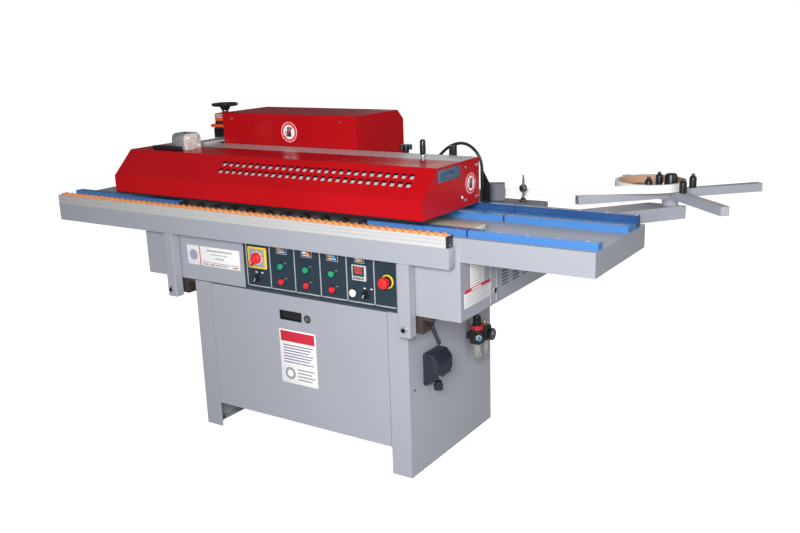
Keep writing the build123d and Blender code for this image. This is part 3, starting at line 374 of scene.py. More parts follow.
class Form:
    """A piece being modelled, in millimetres in the machine's own frame."""

    def __init__(self) -> None:
        """Start an empty form."""
        self.whole = bmesh.new()
        self.scratch = bpy.data.meshes.new("scratch")
        self.finishes: list[Finish] = []

    def _join(self, part: bmesh.types.BMesh, finish: Finish) -> "Form":
        """Add a finished primitive to the form."""
        if finish not in self.finishes:
            self.finishes.append(finish)
        bmesh.ops.recalc_face_normals(part, faces=part.faces)
        for face in part.faces:
            face.material_index = self.finishes.index(finish)
        part.to_mesh(self.scratch)
        part.free()
        self.whole.from_mesh(self.scratch)
        return self

    def block(
        self,
        low: Sequence[float],
        high: Sequence[float],
        finish: Finish,
        bevel: float = 0.6,
        turn: Matrix | None = None,
        about: Sequence[float] | None = None,
        segments: int = 2,
    ) -> "Form":
        """Add a block with eased edges.

        Args:
            low: Lowest corner.
            high: Highest corner.
            finish: Its finish.
            bevel: Edge radius.
            turn: A rotation, if it is turned.
            about: The point it is turned about, its middle if not given.
            segments: Steps across each edge.

        Returns:
            The form.
        """
        part = bmesh.new()
        size = mm(high) - mm(low)
        centre = (mm(high) + mm(low)) / 2
        bmesh.ops.create_cube(part, size=1.0,
                              matrix=Matrix.Translation(centre) @ Matrix.Diagonal((*size, 1.0)))
        if bevel > 0.0:
            offset = min(bevel * MM, 0.45 * min(size))
            bmesh.ops.bevel(part, geom=part.edges[:], offset=offset, segments=segments, profile=0.5,
                            affect="EDGES", material=-1)
        if turn is not None:
            pivot = centre if about is None else mm(about)
            bmesh.ops.rotate(part, verts=part.verts[:], cent=pivot, matrix=turn.to_3x3())
        return self._join(part, finish)

    def rod(
        self,
        start: Sequence[float],
        end: Sequence[float],
        radius: float,
        finish: Finish,
        end_radius: float | None = None,
        bevel: float = 0.5,
        sides: int = 32,
    ) -> "Form":
        """Add a round or many-sided rod between two points.

        Args:
            start: Middle of the first end.
            end: Middle of the other end.
            radius: Radius at the start.
            finish: Its finish.
            end_radius: Radius at the end, the same if not given.
            bevel: Radius of the rims.
            sides: Number of sides.

        Returns:
            The form.
        """
        part = bmesh.new()
        along = mm(end) - mm(start)
        place = Matrix.Translation((mm(start) + mm(end)) / 2) @ along.to_track_quat("Z",
                                                                                    "Y").to_matrix().to_4x4()
        last = radius if end_radius is None else end_radius
        bmesh.ops.create_cone(part, cap_ends=True, cap_tris=False, segments=sides, radius1=radius * MM,
                              radius2=last * MM, depth=along.length, matrix=place)
        rims = [edge for edge in part.edges if any(len(face.verts) > 4 for face in edge.link_faces)]
        offset = min(bevel, 0.4 * min(radius, last), 0.4 * along.length / MM) * MM
        if offset > 0.0 and rims:
            bmesh.ops.bevel(part, geom=rims, offset=offset, segments=2, profile=0.5, affect="EDGES",
                            material=-1)
        return self._join(part, finish)

    def turned(
        self,
        base: Sequence[float],
        axis: Axis,
        profile: Sequence[tuple[float, float]],
        finish: Finish,
        sides: int = 48,
    ) -> "Form":
        """Add a turned shape: a closed profile spun about an axis.

        Args:
            base: The point on the axis at height 0.
            axis: The axis.
            profile: Points of (radius, height); the first and last may lie on the axis.
            finish: Its finish.
            sides: Steps round.

        Returns:
            The form.
        """
        part = bmesh.new()
        along = axis.vector
        across = Vector((0.0, 0.0, 1.0)) if abs(along.z) < 0.5 else Vector((1.0, 0.0, 0.0))
        centre = mm(base)
        verts = [part.verts.new(centre + across * (r * MM) + along * (h * MM)) for r, h in profile]
        edges = [part.edges.new(pair) for pair in zip(verts, verts[1:])]
        if profile[0][0] > 0.0 or profile[-1][0] > 0.0:
            edges.append(part.edges.new((verts[-1], verts[0])))
        bmesh.ops.spin(part, geom=verts + edges, cent=centre, axis=along, angle=2 * pi, steps=sides,
                       use_merge=True, use_duplicate=False)
        bmesh.ops.remove_doubles(part, verts=part.verts[:], dist=1e-7)
        return self._join(part, finish)

    def slab(
        self, outline: Iterable[Sequence[float]], lift: Sequence[float], finish: Finish, bevel: float = 0.0
    ) -> "Form":
        """Add a flat outline raised to a thickness.

        Args:
            outline: The corners, in one plane.
            lift: The step from the outline to its other side.
            finish: Its finish.
            bevel: Edge radius.

        Returns:
            The form.
        """
        part = bmesh.new()
        face = part.faces.new([part.verts.new(mm(point)) for point in outline])
        raised = bmesh.ops.extrude_face_region(part, geom=[face], use_keep_orig=True)
        moved = [item for item in raised["geom"] if isinstance(item, bmesh.types.BMVert)]
        bmesh.ops.translate(part, verts=moved, vec=mm(lift))
        if bevel > 0.0:
            bmesh.ops.bevel(part, geom=part.edges[:], offset=bevel * MM, segments=2, profile=0.5,
                            affect="EDGES", material=-1)
        return self._join(part, finish)

    def screw(self, base: Sequence[float], axis: Axis, radius: float, finish: Finish) -> "Form":
        """Add a low pan-head screw with a hexagon socket."""
        head = 0.55 * radius
        self.turned(base, axis, [(0.0, 0.0), (radius, 0.0), (radius, 0.5 * head),
                                 (0.8 * radius, 0.9 * head),
                                 (0.45 * radius, head), (0.42 * radius, 0.45 * head), (0.0, 0.45 * head)],
                    finish, 24)
        return self

    def piece(self, name: str, body: str, replaces: Sequence[str] = ()) -> bpy.types.Object:
        """Finish the form as a piece that rides on a body.

        Args:
            name: The piece's name.
            body: The body it moves with.
            replaces: CAD nodes that it stands for.

        Returns:
            The piece.
        """
        mesh = bpy.data.meshes.new(name)
        self.whole.to_mesh(mesh)
        self.whole.free()
        bpy.data.meshes.remove(self.scratch)
        mesh.polygons.foreach_set("use_smooth", [True] * len(mesh.polygons))
        mesh.set_sharp_from_angle(angle=radians(34))
        for finish in self.finishes:
            mesh.materials.append(finish.material())
        made = bpy.data.objects.new(name, mesh)
        bpy.context.scene.collection.objects.link(made)
        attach(made, body)
        for node in replaces:
            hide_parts(node)
        LOG.info("made %s on %s", name, body)
        return made


@dataclass
class Studio:
    """The camera, the floor and the light.

    Attributes:
        eye: Where the camera stands, in metres.
        forward: Where it looks.
        above: Its up direction.
        lens: Focal length on a 36 mm sensor.
        surround: Strength of the even light all round.
        mirrored: Strength of the surroundings in reflections.
        floor_glow: How far the floor is lifted towards white.
    """

    eye: Triple = (2.0537, -2.70415, 1.5173)
    forward: Triple = (-0.53231, 0.80778, -0.25326)
    above: Triple = (-0.11174, 0.22951, 0.96687)
    lens: float = 40.88
    surround: float = 0.24
    mirrored: float = 0.10
    floor_glow: float = 0.92

    def build(self) -> None:
        """Set up the camera, floor and lights."""
        self._camera()
        self._floor()
        self._world()
        self._softbox("key", (1.80, -2.85, 1.80), (0.25, 0.0, 0.75), 0.9, 124.0)
        self._softbox("fill", (-2.6, -4.6, 3.0), (0.0, 0.0, 0.8), 3.0, 8.0)
        self._softbox("back", (-1.2, 4.4, 3.2), (0.0, 0.0, 0.8), 3.0, 26.0)
        self._softbox("rim", (4.2, 0.4, 2.0), (0.6, 0.0, 0.7), 2.0, 24.0)

    def _camera(self) -> None:
        """Place the camera in front of the infeed end, looking down the machine."""
        data = bpy.data.cameras.new("camera")
        data.sensor_width = 36.0
        data.lens = self.lens
        data.clip_end = 100.0
        camera = bpy.data.objects.new("camera", data)
        forward = Vector(self.forward).normalized()
        right = forward.cross(Vector(self.above)).normalized()
        up = right.cross(forward)
        turn = Matrix((right, up, -forward)).transposed().to_4x4()
        camera.matrix_world = Matrix.Translation(self.eye) @ turn
        bpy.context.scene.collection.objects.link(camera)
        bpy.context.scene.camera = camera

    def _floor(self) -> None:
        """Lay a plain pale floor."""
        shape = bmesh.new()
        bmesh.ops.create_grid(shape, x_segments=2, y_segments=2, size=40.0)
        mesh = bpy.data.meshes.new("floor")
        shape.to_mesh(mesh)
        shape.free()
        material = bpy.data.materials.new("floor_white")
        material.use_nodes = True
        shader = material.node_tree.nodes["Principled BSDF"]
        shader.inputs["Base Color"].default_value = (0.5, 0.5, 0.5, 1.0)
        shader.inputs["Roughness"].default_value = 0.9
        shader.inputs["Emission Color"].default_value = (1.0, 1.0, 1.0, 1.0)
        self._seen_as(material.node_tree, shader.inputs["Emission Strength"], self.floor_glow, 0.0, 0.0)
        mesh.materials.append(material)
        floor = bpy.data.objects.new("floor", mesh)
        bpy.context.scene.collection.objects.link(floor)

    def _world(self) -> None:
        """Surround the machine with even white light."""
        world = bpy.data.worlds.new("surround")
        bpy.context.scene.world = world
        world.use_nodes = True
        background = world.node_tree.nodes["Background"]
        background.inputs["Color"].default_value = (1.0, 1.0, 1.0, 1.0)
        self._seen_as(world.node_tree, background.inputs["Strength"], 1.0, self.mirrored, self.surround)
        bpy.context.scene.view_settings.view_transform = "Standard"

    def _seen_as(
        self, tree: bpy.types.NodeTree, socket: bpy.types.NodeSocket, straight: float,
        glossy: float, soft: float
    ) -> None:
        """Give a socket one value seen straight, one in reflections and one for soft light.

        Args:
            tree: The node tree.
            socket: The strength to set.
            straight: Value seen by the camera.
            glossy: Value in reflections.
            soft: Value for soft light.
        """
        path = tree.nodes.new("ShaderNodeLightPath")
        value: bpy.types.NodeSocket | float = soft
        for kind, level in (("Is Glossy Ray", glossy), ("Is Camera Ray", straight)):
            choose = tree.nodes.new("ShaderNodeMix")
            choose.inputs["B"].default_value = level
            if isinstance(value, float):
                choose.inputs["A"].default_value = value
            else:
                tree.links.new(value, choose.inputs["A"])
            tree.links.new(path.outputs[kind], choose.inputs["Factor"])
            value = choose.outputs["Result"]
        tree.links.new(value, socket)

    def _softbox(self, name: str, place: Triple, target: Triple, size: float, power: float) -> None:
        """Hang a square softbox aimed at a point.

        Args:
            name: The light's name.
            place: Where it hangs.
            target: What it points at.
            size: Edge length.
            power: Watts.
        """
        data = bpy.data.lights.new(name, "AREA")
        data.size = size
        data.energy = power
        light = bpy.data.objects.new(name, data)
        aim = (Vector(target) - Vector(place)).to_track_quat("-Z", "Y").to_matrix().to_4x4()
        light.matrix_world = Matrix.Translation(place) @ aim
        bpy.context.scene.collection.objects.link(light)


@dataclass
class HoseArc:
    """The black hose that arches from the glue pot to the tape guide.

    Attributes:
        depth: Its plane, mm behind the origin.
        diameter: Outside diameter, mm.
        length: Its real length, m; not used.
        route: Points of the arch as (x, z), mm.
    """

    depth: float = 128.0
    diameter: float = 11.0
    length: float = 0.4805
    route: tuple[tuple[float, float], ...] = (
        (328, 975), (330, 1013), (346, 1043), (379, 1071), (406, 1096), (437, 1111), (466, 1117),
        (495, 1112), (525, 1091), (544, 1060), (549, 1024), (550, 980), (546, 936), (546, 895),
    )

    def build(self) -> None:
        curve = bpy.data.curves.new("hose_arc", "CURVE")
        curve.dimensions = "3D"
        curve.resolution_u = 12
        curve.bevel_depth = self.diameter / 2 * MM
        curve.bevel_resolution = 6
        curve.use_fill_caps = True
        spline = curve.splines.new("NURBS")
        spline.points.add(len(self.route) - 1)
        for point, (x, z) in zip(spline.points, self.route):
            point.co = (x * MM, self.depth * MM, z * MM, 1.0)
        spline.order_u = 3
        spline.use_endpoint_u = True
        curve.materials.append(HOSE_RUBBER.material())
        hose = bpy.data.objects.new("hose_arc", curve)
        bpy.context.scene.collection.objects.link(hose)
        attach(hose, "frame")
        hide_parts("cable_hose")
        LOG.info("made hose_arc on frame")


@dataclass
class Paintwork:
    """Which finish each carried-over CAD node wears."""

    def build(self) -> None:
        """Dress every CAD node."""
        wear = {
            GREY_PAINT: ("base_left_side", "base_right_side", "base_back_panel", "front_door",
                         "cabinet_shell",
                         "cabinet_side_door", "support_beam", "support_arms", "reel_beam", "reel_spider"),
            GREY_TOP: ("table_top", "outfeed_table", "extension_table"),
            BEAM_TOP: ("pressure_beam",),
            RED_PAINT: ("front_hood", "rear_hood"),
            NAVY_PANEL: ("control_panel",),
            # The underlay is a real board, but its black is painted shade standing for the dark gap under
            # the upper cabinet.
            BLACK_BOARD_AND_SHADE: ("cabinet_underlay",),
            BLUE_RAIL: ("guide_rails",),
            BLUE_FENCE: ("infeed_fence",),
            BLACK_ROLLER: ("track_rollers",),
            ORANGE_ROLLER: ("support_rollers",),
            PROFILE: ("roller_profile",),
            CAST_ALUMINIUM: ("scraper_motor",),
            GROUND_STEEL: ("slide_bars", "lift_spindle", "pressure_roller"),
            MILLED_GREY: ("tape_guide_plate", "tape_guide_block"),
            DARK_STEEL: ("guide_columns", "glue_pot", "trim_motors"),
            BROWN_STEEL: ("clamp_blocks",),
            BLACK_PLASTIC: ("selector_left", "selector_right", "clamp_lever_left", "clamp_lever_right",
                            "lever_grip", "star_knob", "handwheel", "mains_inlet", "air_knob", "reel_pins",
                            "air_unit", "temperature_controller"),
            RED_BUTTON: ("main_switch_handle", "red_button_1", "red_button_2", "red_button_3",
                         "estop_mushroom"),
            GREEN_BUTTON: ("green_button_1", "green_button_2", "green_button_3"),
            WHITE_BUTTON: ("white_button",),
            INDICATOR_ORANGE: ("position_indicator",),
            BEZEL_BLACK: ("panel_bezels",),
            HOSE_RUBBER: ("cable_hose",),
            TAPE_WHITE: ("edge_tape_run",),
            TAPE_COIL: ("edge_tape_coil",),
            CLEAR_BOWL: ("air_bowls",),
        }
        for finish, names in wear.items():
            for name in names:
                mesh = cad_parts[name].data
                mesh.materials.clear()
                mesh.materials.append(finish.material())
        LOG.info("dressed %d CAD nodes", sum(len(names) for names in wear.values()))


def text_lines(
    form: Form, left: float, right: float, tops: Sequence[float], height: float, face: float, finish: Finish
) -> None:
    """Add rows of short bars, as a plain stand-in for print, on a face that looks to the front.

    Args:
        form: The form to add to.
        left: Lowest x.
        right: Highest x.
        tops: Top of each row.
        height: Height of a row's bars.
        face: The surface's y.
        finish: The ink.
    """
    for row, top in enumerate(tops):
        x = left
        step = 0
        while x < right - 2.0:
            width = min(right - x, 7.0 + 5.0 * ((row * 3 + step * 2) % 4))
            form.block((x, face - 0.25, top - height), (x + width, face, top), finish, 0.0)
            x += width + 2.5
            step += 1


@dataclass
class ControlPanel:
    """Fittings and print of the control panel.

    Attributes:
        face: The panel's front surface, y.
        low: Lowest edge of the printed outlines, z.
        high: Their highest edge, z.
        dividers: The outlines' upright lines, x.
        buttons: The push buttons' columns, x.
        green_row: Height of the green buttons.
        red_row: Height of the red buttons.
        selectors: The selectors, x.
        white_x: The white button, x.
        switch: The main switch, (x, z).
        display: The temperature controller, (x, z).
        stop: The emergency stop, (x, z).
        right: The panel's right edge, x.
        line: Width of a line.
        pictures: Middle of each step's picture, x.
        caption_low: Lowest edge of the marks over the selectors, z.
    """

    face: float = -300.0
    low: float = 617.0
    high: float = 786.0
    dividers: tuple[float, ...] = (-208.0, -95.6, 18.8, 133.4, 247.8, 361.8)
    buttons: tuple[float, ...] = (-43.0, 71.4, 185.8)
    green_row: float = 704.5
    red_row: float = 648.0
    selectors: tuple[float, float] = (-156.0, 329.0)
    white_x: float = 275.0
    switch: tuple[float, float] = (-152.0, 725.0)
    display: tuple[float, float] = (305.0, 723.0)
    stop: tuple[float, float] = (418.0, 705.5)
    right: float = 451.0
    line: float = 4.6
    pictures: tuple[float, ...] = (-37.0, 77.0, 191.0, 305.0)
    caption_low: float = 668.0

    def build(self) -> None:
        """Make the print, switch, bezels, display and pictures."""
        self._outlines()
        self._pictures()
        self._bezels()
        self._switch_handle()
        self._controller()
        self._selector_marks()
        self._emergency_head()
        self._button_caps()

    def _outlines(self) -> None:
        """Print the light lines round each group of controls."""
        form = Form()
        y0, y1 = self.face - 0.4, self.face
        ends = (*self.dividers[1:], self.right)
        for x, end in zip(self.dividers, ends):
            form.block((x, y0, self.low), (x + self.line, y1, self.high), PRINT_LINE, 0.15)
            form.block((x + self.line + 1.5, y0, self.low - 2.0), (end - 1.5, y1, self.low + 2.2),
                       PRINT_LINE, 0.15)
        form.piece("panel_outlines", "frame")

    def _pictures(self) -> None:
        """Print small generic pictures of the working steps."""
        form = Form()
        y1 = self.face
        for step, x in enumerate(self.pictures):
            half = 24.0 if step < 3 else 20.0
            low = 750.0 if step < 3 else 756.0
            form.block((x - half, y1 - 0.4, low), (x + half, y1, self.high), PRINT_LINE, 0.15)
            form.block((x - half + 2, y1 - 0.6, low + 2), (x + half - 2, y1 - 0.1, self.high - 2),
                       PRINT_DARK, 0.1)
            warm, cool = (PRINT_ORANGE, PRINT_BLUE) if step % 2 == 0 else (PRINT_WHITE, PRINT_ORANGE)
            form.block((x - half + 5, y1 - 0.8, low + 13), (x - 2, y1 - 0.3, low + 22), warm, 0.1)
            form.rod((x + 6, y1 - 0.9, low + 14), (x + 6, y1 - 0.3, low + 14), 8.0, cool, bevel=0.0,
                     sides=24)
            form.block((x - half + 6, y1 - 0.8, low + 6), (x + half - 8, y1 - 0.3, low + 9),
                       PRINT_WHITE, 0.1)
        for x in self.selectors:
            for left in (x - 10, x + 18):
                form.block((left, y1 - 0.5, self.caption_low), (left + 9, y1, self.caption_low + 4),
                           PRINT_WHITE, 0.1)
        for x in self.buttons:
            for z in (self.green_row, self.red_row):
                form.block((x + 14, y1 - 0.5, z + 13), (x + 26, y1, z + 15), PRINT_GREY, 0.1)
        form.piece("panel_pictures", "frame")

    def _bezels(self) -> None:
        """Make the button rings, the emergency-stop ring and the switch plate."""
        form = Form()
        ring = [(11.2, 0.0), (14.7, 0.0), (14.7, 2.6), (13.4, 4.0), (11.8, 3.6), (11.2, 2.6)]
        places = [(x, z) for x in self.buttons for z in (self.green_row, self.red_row)]
        places += [(x, self.red_row) for x in self.selectors]
        for x, z in places:
            form.turned((x, self.face, z), Axis.FRONT, ring, BEZEL_BLACK)
        low_ring = [(11.2, 0.0), (15.8, 0.0), (15.8, 1.2), (13.8, 1.2), (13.8, 0.3), (11.2, 0.3)]
        form.turned((self.white_x, self.face, self.red_row), Axis.FRONT, low_ring, BEZEL_BLACK)
        stop_x, stop_z = self.stop
        rim = [(19.6, 0.0), (24.0, 0.0), (24.0, 1.6), (22.4, 3.6), (19.6, 4.0)]
        form.turned((stop_x, self.face, stop_z), Axis.FRONT, rim, YELLOW_PLASTIC)
        collar = [(11.2, 0.0), (19.6, 0.0), (19.6, 3.0), (14.0, 4.0), (11.2, 4.0)]
        form.turned((stop_x, self.face, stop_z), Axis.FRONT, collar, BEZEL_BLACK)
        x, z = self.switch
        corners = self._rounded(x, z, 44.0, 40.0, 5.0)
        form.slab([(a, self.face, b) for a, b in corners], (0, -3.4, 0), YELLOW_PLASTIC, 0.8)
        corners = self._rounded(x, z, 36.5, 33.5, 3.5)
        form.slab([(a, self.face - 3.3, b) for a, b in corners], (0, -0.7, 0), BEZEL_GREY, 0.2)
        form.turned((x, self.face - 4.0, z), Axis.FRONT,
                    [(6.2, -2.0), (26.0, -2.0), (26.0, 0.1), (24.0, 0.3), (6.2, 0.3)],
                    CONTROLLER_CASE)
        for angle in (20, 65, 110):
            a = x + 30 * cos(radians(angle))
            b = z + 27 * sin(radians(angle))
            form.block((a - 2, self.face - 4.3, b - 2), (a + 2, self.face - 3.9, b + 2), PRINT_DARK, 0.1)
        form.piece("panel_rings", "frame", ["panel_bezels"])

    def _rounded(self, x: float, z: float, half_x: float, half_z: float,
                 radius: float) -> list[tuple[float, float]]:
        """Return a rounded rectangle's outline.

        Args:
            x: Middle, across.
            z: Middle, up.
            half_x: Half the width.
            half_z: Half the height.
            radius: Corner radius.

        Returns:
            Points round the outline.
        """
        points = []
        for quarter, (sx, sz) in enumerate(((1, 1), (-1, 1), (-1, -1), (1, -1))):
            for step in range(5):
                angle = radians(90 * quarter + 22.5 * step)
                points.append((x + sx * (half_x - radius) + radius * cos(angle),
                               z + sz * (half_z - radius) + radius * sin(angle)))
        return points

    def _switch_handle(self) -> None:
        """Make the red rotary handle."""
        form = Form()
        (x, z), y = self.switch, self.face - 4.5
        form.turned((x, y, z), Axis.FRONT,
                    [(0.0, 0.0), (21.0, 0.0), (20.5, 7.0), (19.0, 11.0), (15.5, 14.0), (0.0, 15.0)],
                    RED_BUTTON)
        turn = Matrix.Rotation(radians(40), 4, "Y")
        form.block((x - 8.5, y - 23.0, z - 32), (x + 8.5, y - 6.0, z + 12), RED_BUTTON, 4.5, turn,
                   (x, y, z), 3)
        form.block((x - 1.0, y - 23.4, z - 26), (x + 1.0, y - 22.4, z - 12), PRINT_WHITE, 0.3, turn,
                   (x, y, z))
        form.rod((x, y, z), (x, -295.0, z), 5.9, CHROME)
        form.piece("switch_handle", "main_switch", ["main_switch_handle"])

    def _controller(self) -> None:
        """Make the temperature controller with its display and keys."""
        form = Form()
        (x, z), y = self.display, self.face
        form.block((x - 29, y - 6.6, z - 27), (x + 29, y, z + 27), CONTROLLER_CASE, 1.6)
        form.block((x - 24, y - 7.2, z - 12), (x + 23, y - 5.5, z + 23), DISPLAY_GLASS, 0.6)
        form.block((x - 24, y - 7.1, z - 23), (x + 23, y - 5.5, z - 15), PRINT_LINE, 0.4)
        for key in range(4):
            left = x - 21 + key * 11.0
            form.block((left, y - 7.6, z - 21.5), (left + 8, y - 6.8, z - 16.5), DISPLAY_GLASS, 0.4)
        for row, (top, height) in enumerate(((20.0, 11.0), (6.0, 8.0))):
            for digit in range(3):
                left = x - 16 + digit * 10.5 + row * 2
                self._digit(form, left, z + top, 7.0 - row, height, y - 7.2)
        form.block((x - 22.4, y, z - 22.4), (x + 22.4, y + 78, z + 22.4), BEZEL_BLACK, 1.0)
        form.piece("temperature_display", "frame", ["temperature_controller"])

    def _digit(self, form: Form, left: float, top: float, width: float, height: float, face: float) -> None:
        """Add a seven-bar figure eight.

        Args:
            form: The form to add to.
            left: Its left edge.
            top: Its top edge.
            width: Its width.
            height: Its height.
            face: The glass's y.
        """
        bar = 1.5
        y0, y1 = face - 0.3, face + 0.2
        for z in (top - bar, top - height / 2 - bar / 2, top - height):
            form.block((left + 1, y0, z), (left + width - 1, y1, z + bar), DIGIT_RED, 0.0)
        for x in (left, left + width - bar):
            form.block((x, y0, top - height), (x + bar, y1, top), DIGIT_RED, 0.0)

    def _selector_marks(self) -> None:
        """Put the white pointer line on each selector."""
        z = self.red_row
        for name, body, x in (("selector_mark_left", "left_selector", self.selectors[0]),
                              ("selector_mark_right", "right_selector", self.selectors[1])):
            form = Form()
            form.turned((x, self.face - 4.2, z), Axis.FRONT,
                        [(0.0, 0.0), (13.2, 0.0), (13.2, 3.5), (12.0, 5.5), (0.0, 6.0)], BLACK_PLASTIC)
            turn = Matrix.Rotation(radians(28), 4, "Y")
            form.block((x - 4.2, self.face - 18.4, z - 10.5), (x + 4.2, self.face - 8, z + 10.9),
                       BLACK_PLASTIC, 1.4,
                       turn, (x, self.face, z))
            form.block((x - 1.1, self.face - 18.9, z - 10), (x + 1.1, self.face - 18.1, z + 4),
                       PRINT_WHITE, 0.2,
                       turn, (x, self.face, z))
            form.piece(name, body)

    def _emergency_head(self) -> None:
        """Make the red mushroom head."""
        form = Form()
        profile = [(0.0, 0.0), (10.9, 0.0), (10.9, 22.0), (19.0, 21.0), (20.0, 24.0), (19.6, 31.0),
                   (17.0, 36.0),
                   (11.0, 38.6), (0.0, 39.6)]
        x, z = self.stop
        form.turned((x, -298.4, z), Axis.FRONT, profile, RED_BUTTON, 64)
        form.rod((x, -299.0, z), (x, -295.0, z), 10.9, BEZEL_BLACK)
        form.piece("emergency_head", "emergency_stop", ["estop_mushroom"])

    def _button_caps(self) -> None:
        """Round off the caps of the push buttons."""
        cap = [(0.0, 0.0), (11.0, 0.0), (11.0, 8.2), (10.2, 9.4), (8.0, 9.9), (0.0, 10.2)]
        rows = (("green", self.green_row, GREEN_BUTTON), ("red", self.red_row, RED_BUTTON))
        for number, x in enumerate(self.buttons, start=1):
            for colour, z, finish in rows:
                form = Form()
                form.turned((x, self.face + 1.0, z), Axis.FRONT, cap, finish, 40)
                form.rod((x, self.face + 1.0, z), (x, self.face + 5.0, z), 10.9, finish)
                form.piece(f"{colour}_cap_{number}", f"{colour}_push_{number}",
                           [f"{colour}_button_{number}"])
        form = Form()
        dome = [(0.0, 0.0), (11.0, 0.0), (11.0, 4.5), (13.5, 5.2), (13.0, 8.4), (10.0, 9.6), (0.0, 10.2)]
        form.turned((self.white_x, self.face + 1.0, self.red_row), Axis.FRONT, dome, WHITE_BUTTON, 40)
        form.rod((self.white_x, self.face + 1.0, self.red_row),
                 (self.white_x, self.face + 5.0, self.red_row), 10.9,
                 WHITE_BUTTON)
        form.piece("white_cap", "white_push", ["white_button"])


@dataclass
class Notices:
    """Generic plates and notices in place of the printed ones.

    Attributes:
        cabinet_face: The upper cabinet's front, y.
        door_face: The base door's front, y.
        wall: The cabinet's right wall, x.
    """

    cabinet_face: float = -298.0
    door_face: float = -295.0
    wall: float = 693.5

    def build(self) -> None:
        """Make every notice."""
        self._name_plate()
        self._door_notice()
        self._wall_notices()

    def _name_plate(self) -> None:
        """Make the name plate left of the control panel."""
        form = Form()
        face = self.cabinet_face
        form.block((-513, face - 1.0, 663), (-243, face, 739), PRINT_WHITE, 0.4)
        form.block((-448, face - 1.3, 663), (-443.5, face - 0.9, 739), PRINT_RED, 0.1)
        form.rod((-480, face - 1.3, 702), (-480, face - 0.9, 702), 21.0, PRINT_LILAC, bevel=0.0, sides=40)
        form.block((-443, face - 1.2, 677), (-245, face - 0.9, 680), PRINT_LINE, 0.0)
        for left, right, top, height, ink in ((-410, -280, 728, 6.0, PRINT_GREY),
                                              (-390, -302, 713, 4.0, PRINT_LINE),
                                              (-368, -322, 699, 5.0, PRINT_GREY),
                                              (-432, -402, 673, 5.0, PRINT_GREY),
                                              (-398, -372, 673, 5.0, PRINT_RED),
                                              (-368, -302, 673, 5.0, PRINT_GREY),
                                              (-280, -252, 673, 5.0, PRINT_RED)):
            text_lines(form, left, right, (top,), height, face - 1.0, ink)
        form.piece("name_plate", "frame")

    def _door_notice(self) -> None:
        """Make the square notice on the base door."""
        form = Form()
        face = self.door_face
        form.block((-76, face - 0.6, 257), (93, face, 466), PRINT_WHITE, 0.2)
        form.block((-70, face - 0.9, 420), (87, face - 0.4, 460), PRINT_RED, 0.1)
        for row in range(7):
            top = 408 - row * 11.0
            form.block((-60, face - 0.9, top - 4.0), (78 - 9 * (row % 3), face - 0.4, top),
                       PRINT_VIOLET, 0.1)
        form.rod((-34, face - 0.9, 296), (-34, face - 0.4, 296), 24.0, PRINT_GREY, bevel=0.0, sides=48)
        form.rod((-34, face - 1.1, 296), (-34, face - 0.8, 296), 14.0, PRINT_WHITE, bevel=0.0, sides=48)
        for row in range(4):
            top = 318 - row * 13.0
            form.block((2, face - 0.9, top - 5.0), (80 - 12 * (row % 2), face - 0.4, top), PRINT_GREY, 0.1)
        form.piece("door_notice", "base_door")

    def _wall_notices(self) -> None:
        """Make the two notices on the right wall."""
        form = Form()
        wall = self.wall
        form.block((wall, -236, 698), (wall + 0.6, -135, 790), PRINT_WHITE, 0.2)
        form.block((wall, -237, 698), (wall + 0.7, -234.5, 790), PRINT_RED, 0.1)
        for row in range(9):
            top = 785 - row * 9.5
            form.block((wall + 0.3, -228, top - 1.6), (wall + 0.8, -150 - 6 * (row % 3), top),
                       PRINT_GREY, 0.0)
        form.block((wall + 0.3, -274, 641), (wall + 1.0, -94, 701), PRINT_WHITE, 0.2)
        form.block((wall + 0.6, -274, 689), (wall + 1.3, -94, 701), PRINT_RED, 0.1)
        form.block((wall + 1.0, -225, 692), (wall + 1.6, -160, 698), PRINT_WHITE, 0.0)
        for row in range(6):
            top = 684 - row * 6.8
            form.block((wall + 0.8, -268, top - 1.6), (wall + 1.3, -104 - 12 * (row % 3), top),
                       PRINT_GREY, 0.0)
        form.piece("wall_notices", "frame")


def prohibition_sign(form: Form, centre: Sequence[float], axis: Axis, radius: float) -> None:
    """Add a round keep-hands-out sign with a plain hand.

    Args:
        form: The form to add to.
        centre: Its centre on the surface.
        axis: The way it faces.
        radius: Its radius.
    """
    out = axis.vector
    side = Vector((0.0, 1.0, 0.0)) if abs(out.x) > 0.5 else Vector((1.0, 0.0, 0.0))
    up = Vector((0.0, 0.0, 1.0))
    base = Vector(centre)

    def disc(scale: float, rise: float, finish: Finish) -> None:
        """Add one printed disc."""
        form.rod(base + out * (rise - 0.4), base + out * rise, radius * scale, finish, bevel=0.0, sides=64)

    def bar(across: float, along: float, width: float, height: float, lean: float, rise: float,
            finish: Finish) -> None:
        """Add one printed bar, leaning by an angle."""
        turn = Matrix.Rotation(radians(lean), 4, out)
        middle = base + side * (across * radius) + up * (along * radius)
        half = side * (width * radius / 2) + up * (height * radius / 2)
        corners = [middle + turn @ (half if k == 0 else vector) for k, vector in enumerate((
            half,
            -side * (width * radius / 2) + up * (height * radius / 2),
            -half,
            side * (width * radius / 2) - up * (height * radius / 2),
        ))]
        form.slab([corner + out * (rise - 0.3) for corner in corners], out * 0.3, finish)

    disc(1.0, 0.3, PRINT_WHITE)
    disc(0.95, 0.5, SIGN_RED)
    disc(0.72, 0.7, PRINT_WHITE)
    bar(0.0, -0.22, 0.52, 0.5, 0.0, 0.9, PRINT_DARK)
    for finger, across in enumerate((-0.19, -0.06, 0.07, 0.2)):
        bar(across, 0.22 + 0.06 * (finger % 2), 0.1, 0.5, 0.0, 0.9, PRINT_DARK)
    bar(-0.36, -0.05, 0.1, 0.36, 28.0, 0.9, PRINT_DARK)
    bar(0.0, 0.0, 0.11, 1.5, -45.0, 1.1, SIGN_RED)


